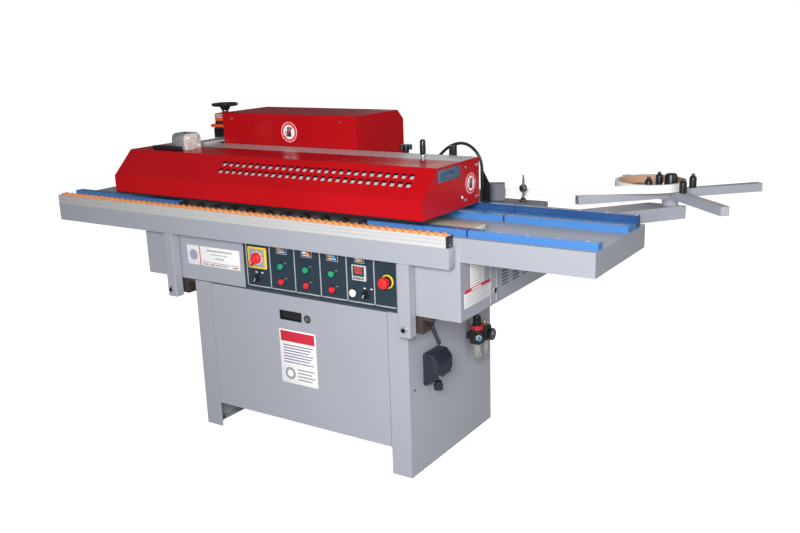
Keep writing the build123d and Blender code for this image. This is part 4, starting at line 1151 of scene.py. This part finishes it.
@dataclass
class Cabinets:
    """Small fittings of the base and the upper cabinet.

    Attributes:
        door_face: The base door's front, y; not used.
        wall: The cabinet's right wall, x; not used.
        pull: The recessed pull's edges (left, right, low, high).
        lock: The door lock, (x, z).
    """

    door_face: float = -295.0
    wall: float = 693.5
    pull: tuple[float, float, float, float] = (-67.0, 33.0, 503.0, 537.0)
    lock: tuple[float, float] = (63.0, 520.0)

    def build(self) -> None:
        """Make locks, a black sheet of painted shade inside the side door, hinges and caps."""
        form = Form()
        x0, x1, z0, z1 = self.pull
        form.block((x0, -289.7, z0), (x1, -289.1, z1), BLACK_PLASTIC, 0.1)
        for low, high in ((z0 - 1.2, z0 + 0.6), (z1 - 0.6, z1 + 1.2)):
            form.block((x0 - 1.2, -295.4, low), (x1 + 1.2, -289.4, high), BLACK_PLASTIC, 0.2)
        for low, high in ((x0 - 1.2, x0 + 0.6), (x1 - 0.6, x1 + 1.2)):
            form.block((low, -295.4, z0), (high, -289.4, z1), BLACK_PLASTIC, 0.2)
        x, z = self.lock
        form.turned((x, -298.0, z), Axis.FRONT,
                    [(0.0, 0.0), (15.0, 0.0), (15.0, 1.2), (12.5, 2.6), (9.5, 2.2),
                     (9.0, 1.2), (0.0, 1.2)], LOCK_GREY)
        form.turned((x, -298.6, z), Axis.FRONT, [(0.0, 0.0), (8.4, 0.0), (8.4, 1.8), (0.0, 2.0)], LOCK_FACE)
        form.block((x - 1, -301.2, z - 4), (x + 1, -300.4, z + 4), PRINT_GREY, 0.1)
        form.piece("door_lock", "base_door")
        form = Form()
        form.turned((696.5, -68.0, 652.0), Axis.RIGHT,
                    [(0.0, 2.6), (9.8, 2.6), (9.8, 3.6), (8.0, 4.6), (0.0, 4.6)],
                    DARK_STEEL)
        # Black sheet just inside the side door: painted shade, seen through its vent slots.
        form.block((689.8, -70, 640), (693.4, 320, 765), BLACK_BOARD_AND_SHADE, 0.5)
        form.block((696.4, -60, 612), (699.5, -45, 790), GREY_PAINT, 1.2)
        form.piece("side_door_fittings", "cabinet_door")
        form = Form()
        for x in (-465.5, 465.5):
            for y in (-235.0, 235.0):
                form.rod((x, y, 3.0), (x, y, 5.0), 13.0, GROUND_STEEL)
                form.rod((x, y, 5.0), (x, y, 12.0), 10.0, GROUND_STEEL, sides=6)
        form.rod((488.5, -262.0, 318.0), (489.6, -262.0, 318.0), 4.5, BEZEL_BLACK)
        form.block((698, -92, 774), (728, -62, 802), BLACK_BOARD_AND_SHADE, 1.0)
        form.block((700, -30, 784), (760, 40, 802), BLACK_BOARD_AND_SHADE, 1.0)
        form.piece("base_fittings", "frame")


@dataclass
class Tables:
    """Screws and end pieces of the rails.

    Attributes:
        rail_top: Height of the rails' top.
        pitch: Distance between rail screws.
    """

    rail_top: float = 902.0
    pitch: float = 96.0

    def build(self) -> None:
        """Make the rail screws."""
        form = Form()
        for start, end in ((-1150.0, -575.0), (372.0, 690.0), (715.0, 1130.0)):
            self._row(form, start, end, -258.5, self.rail_top)
        for start, end in ((230.0, 690.0), (715.0, 1130.0)):
            self._row(form, start, end, -4.5, self.rail_top)
            self._row(form, start + 30, end, 76.5, 920.0)
        form.piece("rail_screws", "frame")
        form = Form()
        # Rail end faces at the table joint, in the darker blue: painted shade.
        for start, end, top in ((-276.5, -240.6, 902.2), (-22.5, 13.4, 902.2), (13.8, 54.9, 900.2),
                                (62.6, 90.3, 920.2)):
            form.block((705.0, start, 880.2), (711.5, end, top), RAIL_END_SHADE, 0.3)
        # Rail end face at x -735, in the lighter blue: painted highlight.
        form.block((-735.0, -276.4, 880.2), (-732.0, -240.7, 902.2), RAIL_END_HIGHLIGHT, 0.3)
        form.piece("rail_joints", "frame")
        form = Form()
        form.block((340.0, -239.5, 880.4), (703.0, -143.0, 896.6), BOARD_EDGE, 0.3)
        form.block((340.0, -239.6, 896.5), (703.2, -142.8, 897.3), BOARD_TOP, 0.2)
        form.piece("sample_board", "frame")

    def _row(self, form: Form, start: float, end: float, y: float, top: float) -> None:
        """Add a row of countersunk screws along a rail.

        Args:
            form: The form to add to.
            start: First x.
            end: Last x.
            y: The row's y.
            top: The rail's top.
        """
        x = start
        while x <= end:
            form.turned((x, y, top), Axis.UP,
                        [(0.0, -0.4), (5.2, -0.4), (5.2, 0.15), (2.4, 0.2), (2.2, -0.2), (0.0, -0.2)],
                        CHROME, 20)
            x += self.pitch


@dataclass
class WorkpieceSupport:
    """End caps and fasteners of the pull-out support.

    Attributes:
        front: The beam's front, y.
        back: The beam's back, y.
        profile_low: Bottom of the roller profile.
        profile_high: Top of the roller profile.
        right: The profile's right end.
        left: The beam's left end.
    """

    front: float = -341.0
    back: float = -302.0
    profile_low: float = 853.0
    profile_high: float = 890.0
    right: float = 668.5
    left: float = -1204.5

    def build(self) -> None:
        """Make the caps and bolts."""
        form = Form()
        form.block((self.right, self.front, self.profile_low + 0.5),
                   (self.right + 4.0, self.back, self.profile_high),
                   BLACK_PLASTIC, 0.8)
        form.screw((self.right + 4.0, -322.0, 861.0), Axis.RIGHT, 3.4, CHROME)
        form.block((675.4, self.front + 3, 788.5), (678.3, self.back - 3, 849.5), GREY_PAINT, 0.5)
        form.block((self.left, self.front + 3, 788.5), (self.left + 3, self.back - 3, 849.5),
                   GREY_PAINT, 0.5)
        form.block((self.left, self.front + 2, self.profile_low),
                   (self.left + 3.5, self.back - 2, self.profile_high - 1),
                   PROFILE, 0.5)
        for x in (-571.0, 505.5):
            form.block((x - 20, -339.0, 532.0), (x + 20, -304.0, 538.5), BLACK_PLASTIC, 1.5)
            form.turned((x, -350.0, 562.0), Axis.FRONT,
                        [(0.0, 0.0), (7.0, 0.0), (5.0, 0.0), (4.6, 0.0)], CHROME, 6)
        for low, high in ((853.6, 863.6), (868.4, 876.6), (881.4, 889.9)):
            form.block((self.left + 0.5, self.front - 0.8, low), (self.right, self.front, high),
                       PROFILE, 0.6)
        form.piece("support_caps", "workpiece_support")
        form = Form()
        # This pale strip between the rollers is partly painted highlight.
        form.block((self.left + 4, self.front + 5.5, 881.0),
                   (self.right - 2, self.back - 5.5, 888.6), ROLLER_BED_AND_HIGHLIGHT, 0.4)
        form.piece("roller_bed_and_highlight", "workpiece_support")


@dataclass
class PressureUnit:
    """Fittings of the front hood and its beam.

    Attributes:
        left: The hood's left end, x.
        right: The hood's right end, x.
        front: The hood's front, y.
        low: The hood's bottom, z.
        knee: Where the slope starts, z.
        top: The hood's top, z.
        run: Depth of the slope.
        vents: Vents in a row.
        first_vent: The first vent, x.
        vent_pitch: Distance between vents.
    """

    left: float = -842.0
    right: float = 583.0
    front: float = -335.0
    low: float = 929.5
    knee: float = 993.0
    top: float = 1084.5
    run: float = 94.0
    vents: int = 27
    first_vent: float = -309.0
    vent_pitch: float = 31.3

    def build(self) -> None:
        """Make the lip, vents, window, sign, lever and motor."""
        self._lip()
        self._vent_flaps()
        self._end_plate()
        self._lever()
        self._motor()

    def _lip(self) -> None:
        """Make the black edge trim under the hood."""
        form = Form()
        form.block((self.left, self.front, self.low - 5), (self.right, self.front + 3, self.low),
                   BLACK_PLASTIC, 0.5)
        for x in (self.left, self.right - 3):
            form.block((x, self.front + 3, self.low - 4), (x + 3, 38, self.low), BLACK_PLASTIC, 0.5)
        form.piece("hood_lip", "pressure_unit")

    def _vent_flaps(self) -> None:
        """Make the bent-in flap of each vent and a black sheet behind them, as painted shade inside the
        hood.
        """
        form = Form()
        rise = self.top - self.knee
        length = (rise ** 2 + self.run ** 2) ** 0.5
        along = Vector((0.0, self.run / length, rise / length))
        out = Vector((0.0, -along.z, along.y))
        origin = Vector((0.0, self.front, self.knee))
        for place in (60.5, 93.0):
            for number in range(self.vents):
                x = self.first_vent + number * self.vent_pitch
                low = origin + along * (place - 10.3) - out * 2.0
                high = low + along * 14.5 - out * 3.0
                corners = [low + Vector((x - 7.0, 0, 0)), low + Vector((x + 10.2, 0, 0)),
                           high + Vector((x + 10.2, 0, 0)), high + Vector((x - 7.0, 0, 0))]
                form.slab(corners, -out * 1.0, LIGHT_GREY)
        # Black sheet behind the vents: painted shade for the dark inside of the hood.
        shade_sheet = [origin + along * 30 - out * 22, origin + along * 118 - out * 22]
        form.slab([shade_sheet[0] + Vector((-340, 0, 0)), shade_sheet[0] + Vector((530, 0, 0)),
                   shade_sheet[1] + Vector((530, 0, 0)),
                   shade_sheet[1] + Vector((-340, 0, 0))], -out * 1.5, BLACK_BOARD_AND_SHADE)
        form.piece("vent_flaps", "pressure_unit")

    def _end_plate(self) -> None:
        """Make the window, screws and sign on the hood's right end."""
        form = Form()
        x = self.right
        form.block((x - 7, -237, 1030), (x - 3.2, -81, 1080), WINDOW_FRAME, 0.8)
        form.block((x - 3.4, -234, 1034.2), (x - 1.2, -84, 1037), WINDOW_FRAME, 0.5)
        form.block((x - 4.0, -218, 1040), (x - 2.0, -128, 1066), WINDOW_GLASS, 0.6)
        form.block((x - 4.0, -122, 1040), (x - 2.4, -92, 1074), WINDOW_GLASS, 0.6)
        for y, z in ((-58, 1063), (20, 1062), (-61, 952), (17, 952)):
            form.screw((x, y, z), Axis.RIGHT, 6.5, CHROME)
        form.screw((x, -81, 964), Axis.RIGHT, 5.0, PRINT_WHITE)
        prohibition_sign(form, (x, -20, 1003), Axis.RIGHT, 35.0)
        form.piece("hood_end_fittings", "pressure_unit")

    def _lever(self) -> None:
        """Make the lever with its grip."""
        form = Form()
        x, y, z = 403.0, -32.0, self.top
        form.turned((x, y, z), Axis.UP, [(0.0, 10.0), (9.0, 10.0), (10.6, 14.0), (10.2, 40.0),
                                         (9.6, 56.0), (7.0, 61.0),
                                         (0.0, 62.0)], BLACK_PLASTIC)
        form.turned((x, y, z), Axis.UP, [(0.0, -13.5), (4.8, -13.5), (4.8, 5.0), (9.0, 5.0),
                                         (9.0, 10.4), (0.0, 10.4)], CHROME)
        form.piece("lever_handle", "beam_lever", ["lever_grip"])

    def _motor(self) -> None:
        """Make the scraper motor with its bar."""
        form = Form()
        x0, x1, y, z, r = -646.0, -582.0, -157.0, self.top + 19.0, 46.0
        ceiling, corner = z + r, 22.0
        outline = [(y - r, self.top)]
        outline += [(y - r + corner * (1 - cos(radians(a))),
                     ceiling - corner * (1 - sin(radians(a)))) for a in range(0, 91, 15)]
        outline += [(y + r - corner * (1 - sin(radians(a))),
                     ceiling - corner * (1 - cos(radians(a)))) for a in range(0, 91, 15)]
        outline += [(y + r, self.top)]
        form.slab([(x0, a, b) for a, b in outline], (x1 - x0, 0, 0), CAST_ALUMINIUM, 3.0)
        small = [(y + (a - y) * 0.94, self.top + (b - self.top) * 0.96) for a, b in outline]
        form.slab([(x1 - 1, a, b) for a, b in small], (7.5, 0, 0), LIGHT_CAP, 2.5)
        for a, b in ((y - 30, self.top + 12), (y + 30, self.top + 12), (y - 24, ceiling - 18),
                     (y + 24, ceiling - 18)):
            form.screw((x1 + 6.4, a, b), Axis.RIGHT, 3.6, CHROME)
        front = y - r - 10
        form.rod((x0 - 92, front, self.top + 9.0), (x1 - 2, front, self.top + 9.0), 8.6,
                 BLACK_PLASTIC, bevel=3.0)
        for x, reach in ((x0 - 84, 15.0), (x1 - 8, 9.4)):
            form.rod((x, front, self.top + 9.0), (x, front + reach, self.top + 6.0), 6.0,
                     BLACK_PLASTIC, bevel=2.0)
        form.piece("scraper_motor_unit", "pressure_unit", ["scraper_motor"])


@dataclass
class HeightDrive:
    """The handwheel and position indicator.

    Attributes:
        x: The spindle's x.
        y: The spindle's y.
        wheel: Height of the handwheel.
        column_top: Top of the column.
    """

    x: float = -688.0
    y: float = 153.0
    wheel: float = 1231.0
    column_top: float = 1135.0

    def build(self) -> None:
        """Make both."""
        self._handwheel()
        self._indicator()

    def _handwheel(self) -> None:
        """Make the dished handwheel."""
        form = Form()
        rim = [(0.0, -24.0), (15.0, -24.0), (17.5, -19.0), (24.0, -8.0), (31.0, -5.5), (43.0, -5.0),
               (48.0, -6.4),
               (52.5, -5.0), (55.6, -1.5), (55.9, 2.0), (54.0, 5.4), (50.0, 6.4), (45.5, 4.5),
               (42.0, 1.0), (27.0, -0.5),
               (20.0, 2.5), (10.0, 3.2), (0.0, 3.2)]
        form.turned((self.x, self.y, self.wheel), Axis.UP, rim, BLACK_PLASTIC, 72)
        form.turned((self.x, self.y, self.wheel), Axis.UP,
                    [(0.0, 2.8), (7.5, 2.8), (7.5, 4.6), (5.5, 5.6), (0.0, 5.8)], CHROME)
        form.rod((self.x, self.y, self.wheel - 26.5), (self.x, self.y, self.wheel - 23), 14.0, CHROME)
        form.piece("handwheel_dish", "lift_drive", ["handwheel"])

    def _indicator(self) -> None:
        """Make the position indicator with its display."""
        form = Form()
        x, y, low = self.x, self.y, self.column_top
        form.block((x - 72, y - 24, low), (x + 39, y + 24, low + 14), INDICATOR_ORANGE, 5.0, segments=3)
        form.block((x - 45, y - 21, low + 12), (x + 21, y + 21, low + 28), BEZEL_BLACK, 2.0)
        form.block((x - 46, y - 22, low + 27), (x + 22, y + 22, low + 60), INDICATOR_ORANGE, 5.0,
                   segments=3)
        form.block((x - 40, y - 22.4, low + 42), (x + 16, y - 20, low + 55), PRINT_WHITE, 0.5)
        for digit in range(5):
            left = x - 38 + digit * 11
            form.block((left, y - 22.8, low + 43.5), (left + 8, y - 22, low + 53.5), PRINT_DARK, 0.3)
            form.block((left + 3, y - 23.1, low + 45.5), (left + 5, y - 22.6, low + 51.5), PRINT_WHITE, 0.1)
        form.turned((x, y, low + 59), Axis.UP,
                    [(8.2, 0.0), (19.0, 0.0), (18.0, 5.0), (14.0, 8.5), (8.2, 8.5)], CHROME)
        form.piece("indicator_case", "frame", ["position_indicator"])


@dataclass
class RearHood:
    """Sign and edge trim of the rear hood.

    Attributes:
        front: Its front, y.
    """

    front: float = 50.6

    def build(self) -> None:
        """Make the sign and hinge knuckles."""
        form = Form()
        prohibition_sign(form, (-260, self.front, 1140), Axis.FRONT, 39.0)
        for x in (-560.0, -10.0):
            form.screw((x, self.front, 1185.0), Axis.FRONT, 4.5, CHROME)
        form.piece("rear_hood_sign", "back_hood")
        form = Form()
        for x in (-480.0, -90.0):
            form.rod((x, 371.0, 878.0), (x + 60, 371.0, 878.0), 4.0, GROUND_STEEL)
        form.piece("rear_hood_hinges", "frame")


@dataclass
class TapeFeed:
    """Fittings of the tape guide and the reel.

    Attributes:
        reel: The reel's axis.
        top: Top of the reel's arms.
        arm: Arm length.
        post: The guide post's place; not used.
    """

    reel: tuple[float, float] = (1062.0, 657.0)
    top: float = 905.0
    arm: float = 373.0
    post: tuple[float, float] = (640.0, 270.0)

    def build(self) -> None:
        """Make the pins, hub, caps and guide fittings."""
        self._pins()
        self._arm_caps()
        self._guide()

    def _pins(self) -> None:
        """Make the reel's pins and its hub."""
        form = Form()
        pin = [(0.0, 0.0), (13.4, 0.0), (13.4, 34.0), (12.6, 38.0), (6.5, 45.0), (6.2, 50.0),
               (5.0, 51.8), (0.0, 52.0)]
        for number in range(4):
            angle = radians(45 + 90 * number)
            form.turned((self.reel[0] + 90 * cos(angle), self.reel[1] + 90 * sin(angle), self.top),
                        Axis.UP, pin,
                        BLACK_PLASTIC, 40)
        hub = [(0.0, 0.0), (25.0, 0.0), (24.6, 20.0), (22.5, 48.0), (20.5, 55.0), (16.0, 58.6),
               (8.0, 60.0), (0.0, 60.0)]
        form.turned((*self.reel, self.top), Axis.UP, hub, BLACK_PLASTIC, 48)
        form.piece("reel_posts", "reel", ["reel_pins"])

    def _arm_caps(self) -> None:
        """Make the plastic caps in the arms' ends."""
        form = Form()
        for number in range(4):
            turn = Matrix.Rotation(radians(45 + 90 * number), 4, "Z")
            x, y = self.reel
            form.block((x + self.arm - 6, y - 16.2, self.top - 32.2),
                       (x + self.arm, y + 16.2, self.top + 0.2),
                       LIGHT_GREY, 5.0, turn, (x, y, self.top), 3)
        form.piece("arm_caps", "reel")

    def _guide(self) -> None:
        """Make the guide post's nut and foot, and the dark shield beside the hood."""
        form = Form()
        low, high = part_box("tape_guide_block")
        x, y = 640.5, 269.3
        form.turned((x, y, 895.0), Axis.UP,
                    [(4.6, 0.0), (15.0, 0.0), (15.0, 3.0), (9.0, 8.0), (7.0, 14.0), (4.6, 14.0)],
                    DARK_STEEL)
        form.turned((x, y, 895.0), Axis.UP,
                    [(4.6, 36.0), (9.0, 36.0), (13.0, 40.0), (13.0, 56.0), (9.0, 60.0), (4.6, 60.0)],
                    DARK_STEEL)
        form.turned((x, y - 9, 943.0), Axis.FRONT,
                    [(0.0, 0.0), (9.0, 0.0), (9.0, 3.0), (3.0, 3.6), (0.0, 3.6)], CHROME)
        sleeve = [(534.0, 1026.0), (541.0, 1026.0), (572.0, 970.0), (572.0, 912.0), (534.0, 912.0)]
        form.slab([Vector((x, 142.0, z)) for x, z in sleeve], Vector((0.0, 4.0, 0.0)), BLACK_PLASTIC)
        form.piece("guide_fittings", "frame")
        LOG.info("guide block spans x %.3f to %.3f", low.x, high.x)


@dataclass
class Services:
    """The mains inlet and the compressed-air unit on the base's right side.

    Attributes:
        wall: The base's right side, x.
        inlet: The inlet's middle as (y, z).
        air: The regulator's axis as (x, y).
        air_level: Height of the air unit's middle.
        pitch: Distance between the regulator and the oiler.
        port_turn: The air port's turn from the front to the right, degrees.
    """

    wall: float = 488.5
    inlet: tuple[float, float] = (-155.0, 375.0)
    air: tuple[float, float] = (524.5, 122.0)
    air_level: float = 404.5
    pitch: float = 56.0
    port_turn: float = 40.0

    def build(self) -> None:
        """Make both units."""
        self._inlet()
        self._air_unit()
        self._bowls()
        self._knob()

    def _inlet(self) -> None:
        """Make the mains inlet box with its lid and gland."""
        form = Form()
        y, z = self.inlet
        x = self.wall
        outline = [(x, z - 58), (x + 34, z - 46), (x + 60.5, z - 24), (x + 60.5, z + 30),
                   (x + 38, z + 58.5), (x, z + 58.5)]
        form.slab([(a, y - 52.5, b) for a, b in outline], (0, 105, 0), NAVY_PLASTIC, 5.0)
        form.block((x + 0.5, y - 53, z - 58.5), (x + 15, y + 53, z + 59), NAVY_PLASTIC, 5.0, segments=3)
        form.block((x + 58, y - 40, z - 18), (x + 61.4, y + 40, z + 24), NAVY_PLASTIC, 1.5)
        for side in (-42.0, 42.0):
            form.screw((x + 60.2, y + side, z - 16), Axis.RIGHT, 5.5, CHROME)
        gx = x + 30
        form.turned((gx, y, z - 55), Axis.DOWN,
                    [(9.2, 0.0), (13.0, 0.0), (13.0, 8.0), (16.0, 10.0), (16.0, 22.0), (13.5, 24.0),
                     (16.0, 27.0), (16.0, 29.6), (9.2, 29.8)], NAVY_PLASTIC, 32)
        for number in range(12):
            angle = 2 * pi * number / 12
            form.rod((gx + 15.2 * cos(angle), y + 15.2 * sin(angle), z - 77),
                     (gx + 15.2 * cos(angle), y + 15.2 * sin(angle), z - 66),
                     0.9, NAVY_PLASTIC, bevel=0.2, sides=8)
        form.piece("mains_inlet_box", "frame", ["mains_inlet"])

    def _air_unit(self) -> None:
        """Make the regulator and oiler bodies, gauge and fittings."""
        form = Form()
        x, y = self.air
        z = self.air_level
        form.block((self.wall, y - 18, z - 13), (x, y + self.pitch + 18, z + 13), DARK_STEEL, 1.5)
        for number in range(2):
            place = y + number * self.pitch
            form.block((x - 21.8, place - 21.8, z - 30), (x + 21.8, place + 21.8, z + 26),
                       DARK_STEEL, 6.0, segments=3)
        form.block((x - 12, y + 20, z - 15), (x + 12, y + self.pitch - 20, z + 11), GROUND_STEEL, 2.0)
        form.turned((x, y, z + 26), Axis.UP,
                    [(0.0, 0.0), (22.8, 0.0), (23.0, 3.0), (23.0, 13.0), (21.5, 15.8), (0.0, 15.8)],
                    PRINT_RED)
        form.turned((x, y + self.pitch, z + 26), Axis.UP,
                    [(0.0, 0.0), (8.0, 0.0), (8.0, 12.0), (6.0, 16.0), (4.0, 20.0), (0.0, 20.0)],
                    BRASS)
        gauge = (x + 22, y + self.pitch, z - 6)
        form.turned(gauge, Axis.RIGHT, [(0.0, 0.0), (14.0, 0.0), (22.6, 3.0), (22.8, 16.0),
                                        (20.5, 17.8), (19.5, 16.2), (0.0, 16.2)],
                    BLACK_PLASTIC)
        form.rod((x + 38.0, y + self.pitch, z - 6), (x + 38.5, y + self.pitch, z - 6), 19.4,
                 GAUGE_FACE, bevel=0.0)
        form.block((x + 38.4, y + self.pitch - 1.2, z - 8), (x + 39.0, y + self.pitch + 1.2, z + 9),
                   PRINT_WHITE, 0.1,
                   Matrix.Rotation(radians(40), 4, "X"), (x, y + self.pitch, z - 6))
        for tick in range(9):
            turn = Matrix.Rotation(radians(-120 + 30 * tick), 4, "X")
            form.block((x + 38.4, y + self.pitch - 0.5, z + 9),
                       (x + 38.8, y + self.pitch + 0.5, z + 12), PRINT_LINE, 0.0, turn,
                       (x, y + self.pitch, z - 6))
        turn = Matrix.Rotation(radians(self.port_turn), 4, "Z")
        fitting = Form()
        fitting.turned((x, y - 28, z), Axis.FRONT,
                       [(4.2, -4.0), (8.0, -4.0), (8.0, 10.0), (7.4, 16.0), (4.2, 16.0)], PRINT_BLUE, 32)
        fitting.turned((x, y - 28, z), Axis.FRONT,
                       [(8.0, -3.0), (11.5, -3.0), (11.5, 4.0), (8.0, 4.0)], CREAM, 6)
        bmesh.ops.rotate(fitting.whole, verts=fitting.whole.verts[:], cent=mm((x, y, z)),
                         matrix=turn.to_3x3())
        fitting.piece("air_fitting", "frame")
        form.piece("air_bodies", "frame", ["air_unit"])

    def _bowls(self) -> None:
        """Make the clear bowls with their elements and drains."""
        form = Form()
        x, top = self.air[0], self.air_level - 30
        wall = [(0.0, -62.0), (9.0, -61.5), (16.0, -57.0), (19.0, -48.0), (19.0, 0.0), (17.2, 0.0),
                (17.2, -47.0),
                (14.6, -55.0), (8.4, -59.4), (0.0, -59.8)]
        for number in range(2):
            y = self.air[1] + number * self.pitch
            form.turned((x, y, top), Axis.UP, wall, CLEAR_BOWL, 40)
            form.turned((x, y, top), Axis.UP,
                        [(0.0, -40.0), (8.0, -40.0), (10.0, -36.0), (10.0, -1.0), (0.0, -1.0)], CREAM)
            form.turned((x, y, top), Axis.UP,
                        [(0.0, -77.5), (3.0, -77.5), (6.5, -62.0), (0.0, -61.0)], GROUND_STEEL)
            for rib in range(6):
                angle = pi * rib / 3
                a, b = x + 18.4 * cos(angle), y + 18.4 * sin(angle)
                form.rod((a, b, top - 50), (a, b, top), 0.9, GROUND_STEEL, bevel=0.0, sides=8)
        form.piece("air_unit_bowls", "frame", ["air_bowls"])

    def _knob(self) -> None:
        """Make the ribbed regulator knob."""
        form = Form()
        x, y = self.air
        base = self.air_level + 43
        form.turned((x, y, base), Axis.UP,
                    [(0.0, 0.0), (16.0, 0.0), (16.0, 3.0), (14.0, 5.0), (13.4, 30.0), (11.5, 35.5),
                     (0.0, 37.0)],
                    BLACK_PLASTIC, 40)
        for rib in range(14):
            angle = 2 * pi * rib / 14
            a, b = x + 14 * cos(angle), y + 14 * sin(angle)
            form.rod((a, b, base + 5), (a, b, base + 31), 1.5, BLACK_PLASTIC, bevel=0.4, sides=8)
        form.piece("regulator_grip", "regulator_knob", ["air_knob"])


def main() -> None:
    """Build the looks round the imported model."""
    logging.basicConfig(level=logging.INFO, format="%(message)s")
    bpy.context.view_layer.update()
    Studio().build()
    HoseArc().build()
    Paintwork().build()
    for assembly in (ControlPanel(), Notices(), Cabinets(), Tables(), WorkpieceSupport(),
                     PressureUnit(), HeightDrive(),
                     RearHood(), TapeFeed(), Services()):
        assembly.build()
        LOG.info("finished %s", type(assembly).__name__)


if __name__ == "__main__":
    main()
